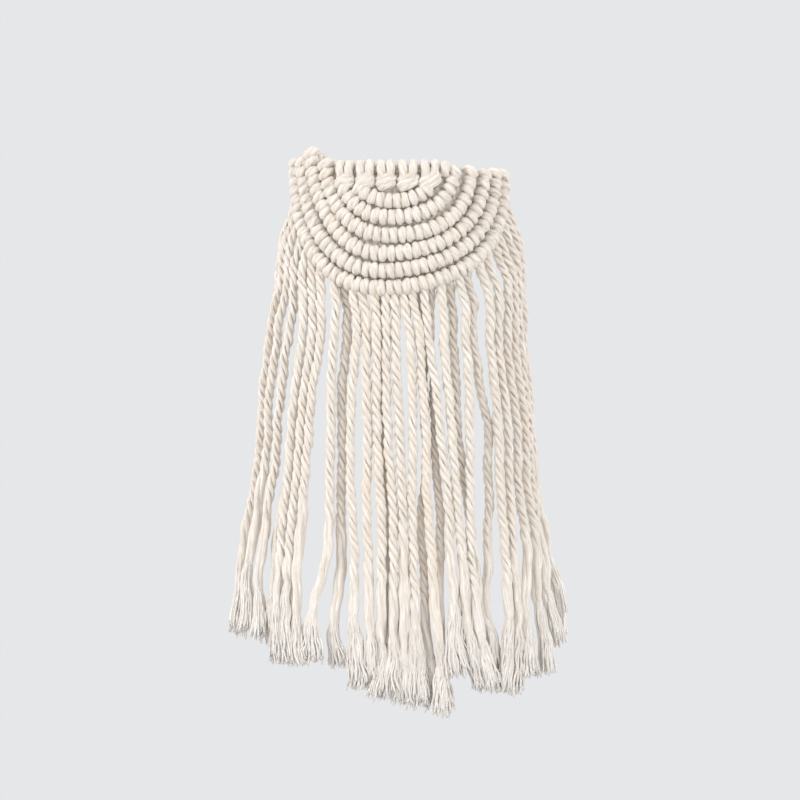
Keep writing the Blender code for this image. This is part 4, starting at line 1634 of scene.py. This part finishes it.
CORDS = (
    HangingCord(-71.0, (-58.9, -63.5, -71.0, -74.7), -74.8, -214.5, hang=Hang.BEHIND),
    HangingCord(-66.5, (-59.4, -64.0, -71.6, -75.3), -76.0, -212.5, brush=1.3),
    HangingCord(-61.5, (-56.0, -60.5, -67.5, -71.0), -71.0, -212.5, brush=1.5),
    HangingCord(-56.5, (-51.0, -56.0, -62.5, -65.5), -64.5, -214.5, brush=1.5),
    HangingCord(-51.5, (-47.5, -52.0, -59.0, -61.0), -60.0, -217.5, under=1, brush=1.4),
    HangingCord(-46.0, (-44.0, -49.5, -54.0, -56.0), -55.5, -224.5, brush=1.4),
    HangingCord(-41.0, (-40.5, -45.5, -50.0, -52.0), -51.0, -226.5, brush=1.5),
    HangingCord(-34.5, (-37.0, -42.5, -46.0, -47.5), -45.5, -226.5, brush=1.3),
    HangingCord(-25.0, (-30.0, -31.5, -32.5, -40.0), -41.0, -225.0, brush=2.3),
    HangingCord(-20.5, (-25.5, -27.5, -27.5, -30.0), -28.5, -227.5, under=1),
    HangingCord(-14.5, (-19.5, -22.5, -21.0, -20.5), -19.0, -236.5, brush=1.3),
    HangingCord(-11.0, (-15.5, -15.0, -15.0, -13.0), -11.0, -233.5),
    HangingCord(-5.0, (-10.0, -10.0, -8.0, -9.0), -12.5, -241.0, brush=1.5),
    HangingCord(-2.5, (-8.0, -7.5, -6.5, -5.5), -7.5, -240.0, under=1),
    HangingCord(-1.0, (-6.5, -5.5, -2.0, -1.5), -1.5, -239.0),
    HangingCord(4.0, (-2.0, 0.0, 1.5, 2.0), 1.0, -244.0, brush=1.5),
    HangingCord(10.0, (5.0, 6.0, 5.0, 5.5), 6.5, -245.0, brush=1.7),
    HangingCord(12.5, (8.5, 11.5, 13.5, 17.0), 20.0, -248.5, brush=1.3),
    HangingCord(14.0, (10.0, 13.5, 10.5, 12.5), 17.0, -246.0, under=1),
    HangingCord(16.5, (13.0, 19.0, 23.0, 24.0), 29.0, -231.0, brush=1.9),
    HangingCord(19.0, (14.0, 15.5, 18.5, 17.5), 21.5, -246.5, under=1),
    HangingCord(24.0, (20.0, 24.0, 27.5, 31.5), 44.0, -237.0, brush=1.6),
    HangingCord(30.0, (25.0, 28.0, 34.5, 38.0), 41.5, -238.0, under=1),
    HangingCord(33.0, (30.0, 32.0, 32.0, 34.5), 37.5, -238.5),
    HangingCord(40.0, (35.0, 42.5, 42.0, 39.0), 45.0, -231.0, under=1),
    HangingCord(45.0, (41.0, 45.0, 47.5, 50.5), 48.5, -239.5, brush=1.3),
    HangingCord(51.5, (44.5, 49.5, 51.0, 53.0), 52.5, -239.5, brush=1.3),
    HangingCord(58.0, (49.0, 53.5, 57.0, 58.0), 58.5, -232.0, brush=1.4),
    HangingCord(64.5, (52.5, 57.5, 61.5, 64.5), 66.5, -231.0, brush=1.3),
    HangingCord(71.0, (55.0, 59.5, 64.0, 69.5), 72.0, -218.0, brush=1.5),
    HangingCord(77.0, (56.9, 60.9, 66.8, 75.0), 77.5, -204.5, brush=1.5),
    HangingCord(82.0, (56.4, 60.4, 66.2, 74.0), 74.5, -216.5, hang=Hang.BEHIND),
)

LEFT_ROUTE = (
    (-46.0, -43.0, 3.0), (-45.2, -33.0, 2.9), (-42.4, -23.0, 2.5), (-37.4, -14.5, 1.7),
    (-31.0, -8.6, 0.9), (-24.0, -5.6, 0.3), (-19.0, -4.6, 0.0),
)
RIGHT_ROUTE = (
    (46.0, -42.5, 3.0), (45.4, -32.0, 2.9), (42.8, -20.5, 2.4), (37.8, -10.5, 1.5),
    (31.0, -2.6, 0.8), (24.0, 2.4, 0.3), (19.0, 4.4, 0.0),
)


def main() -> None:
    """Build the tieback, piece by piece, in its studio."""
    logging.basicConfig(level=logging.INFO, format="%(name)s: %(message)s")
    chance = np.random.default_rng(SEED)
    hollow = Hollow()
    cream = CREAM.material()
    half_moon = HalfMoon(hollow)
    half_moon.build(cream, chance)
    Fringe(hollow, half_moon.bars[-1], CORDS).build(cream, chance)
    TieCord("tie_cord_left", Side.LEFT, LEFT_ROUTE, hollow).build(cream, chance)
    TieCord("tie_cord_right", Side.RIGHT, RIGHT_ROUTE, hollow).build(cream, chance)
    Studio().build()


if __name__ == "__main__":
    main()
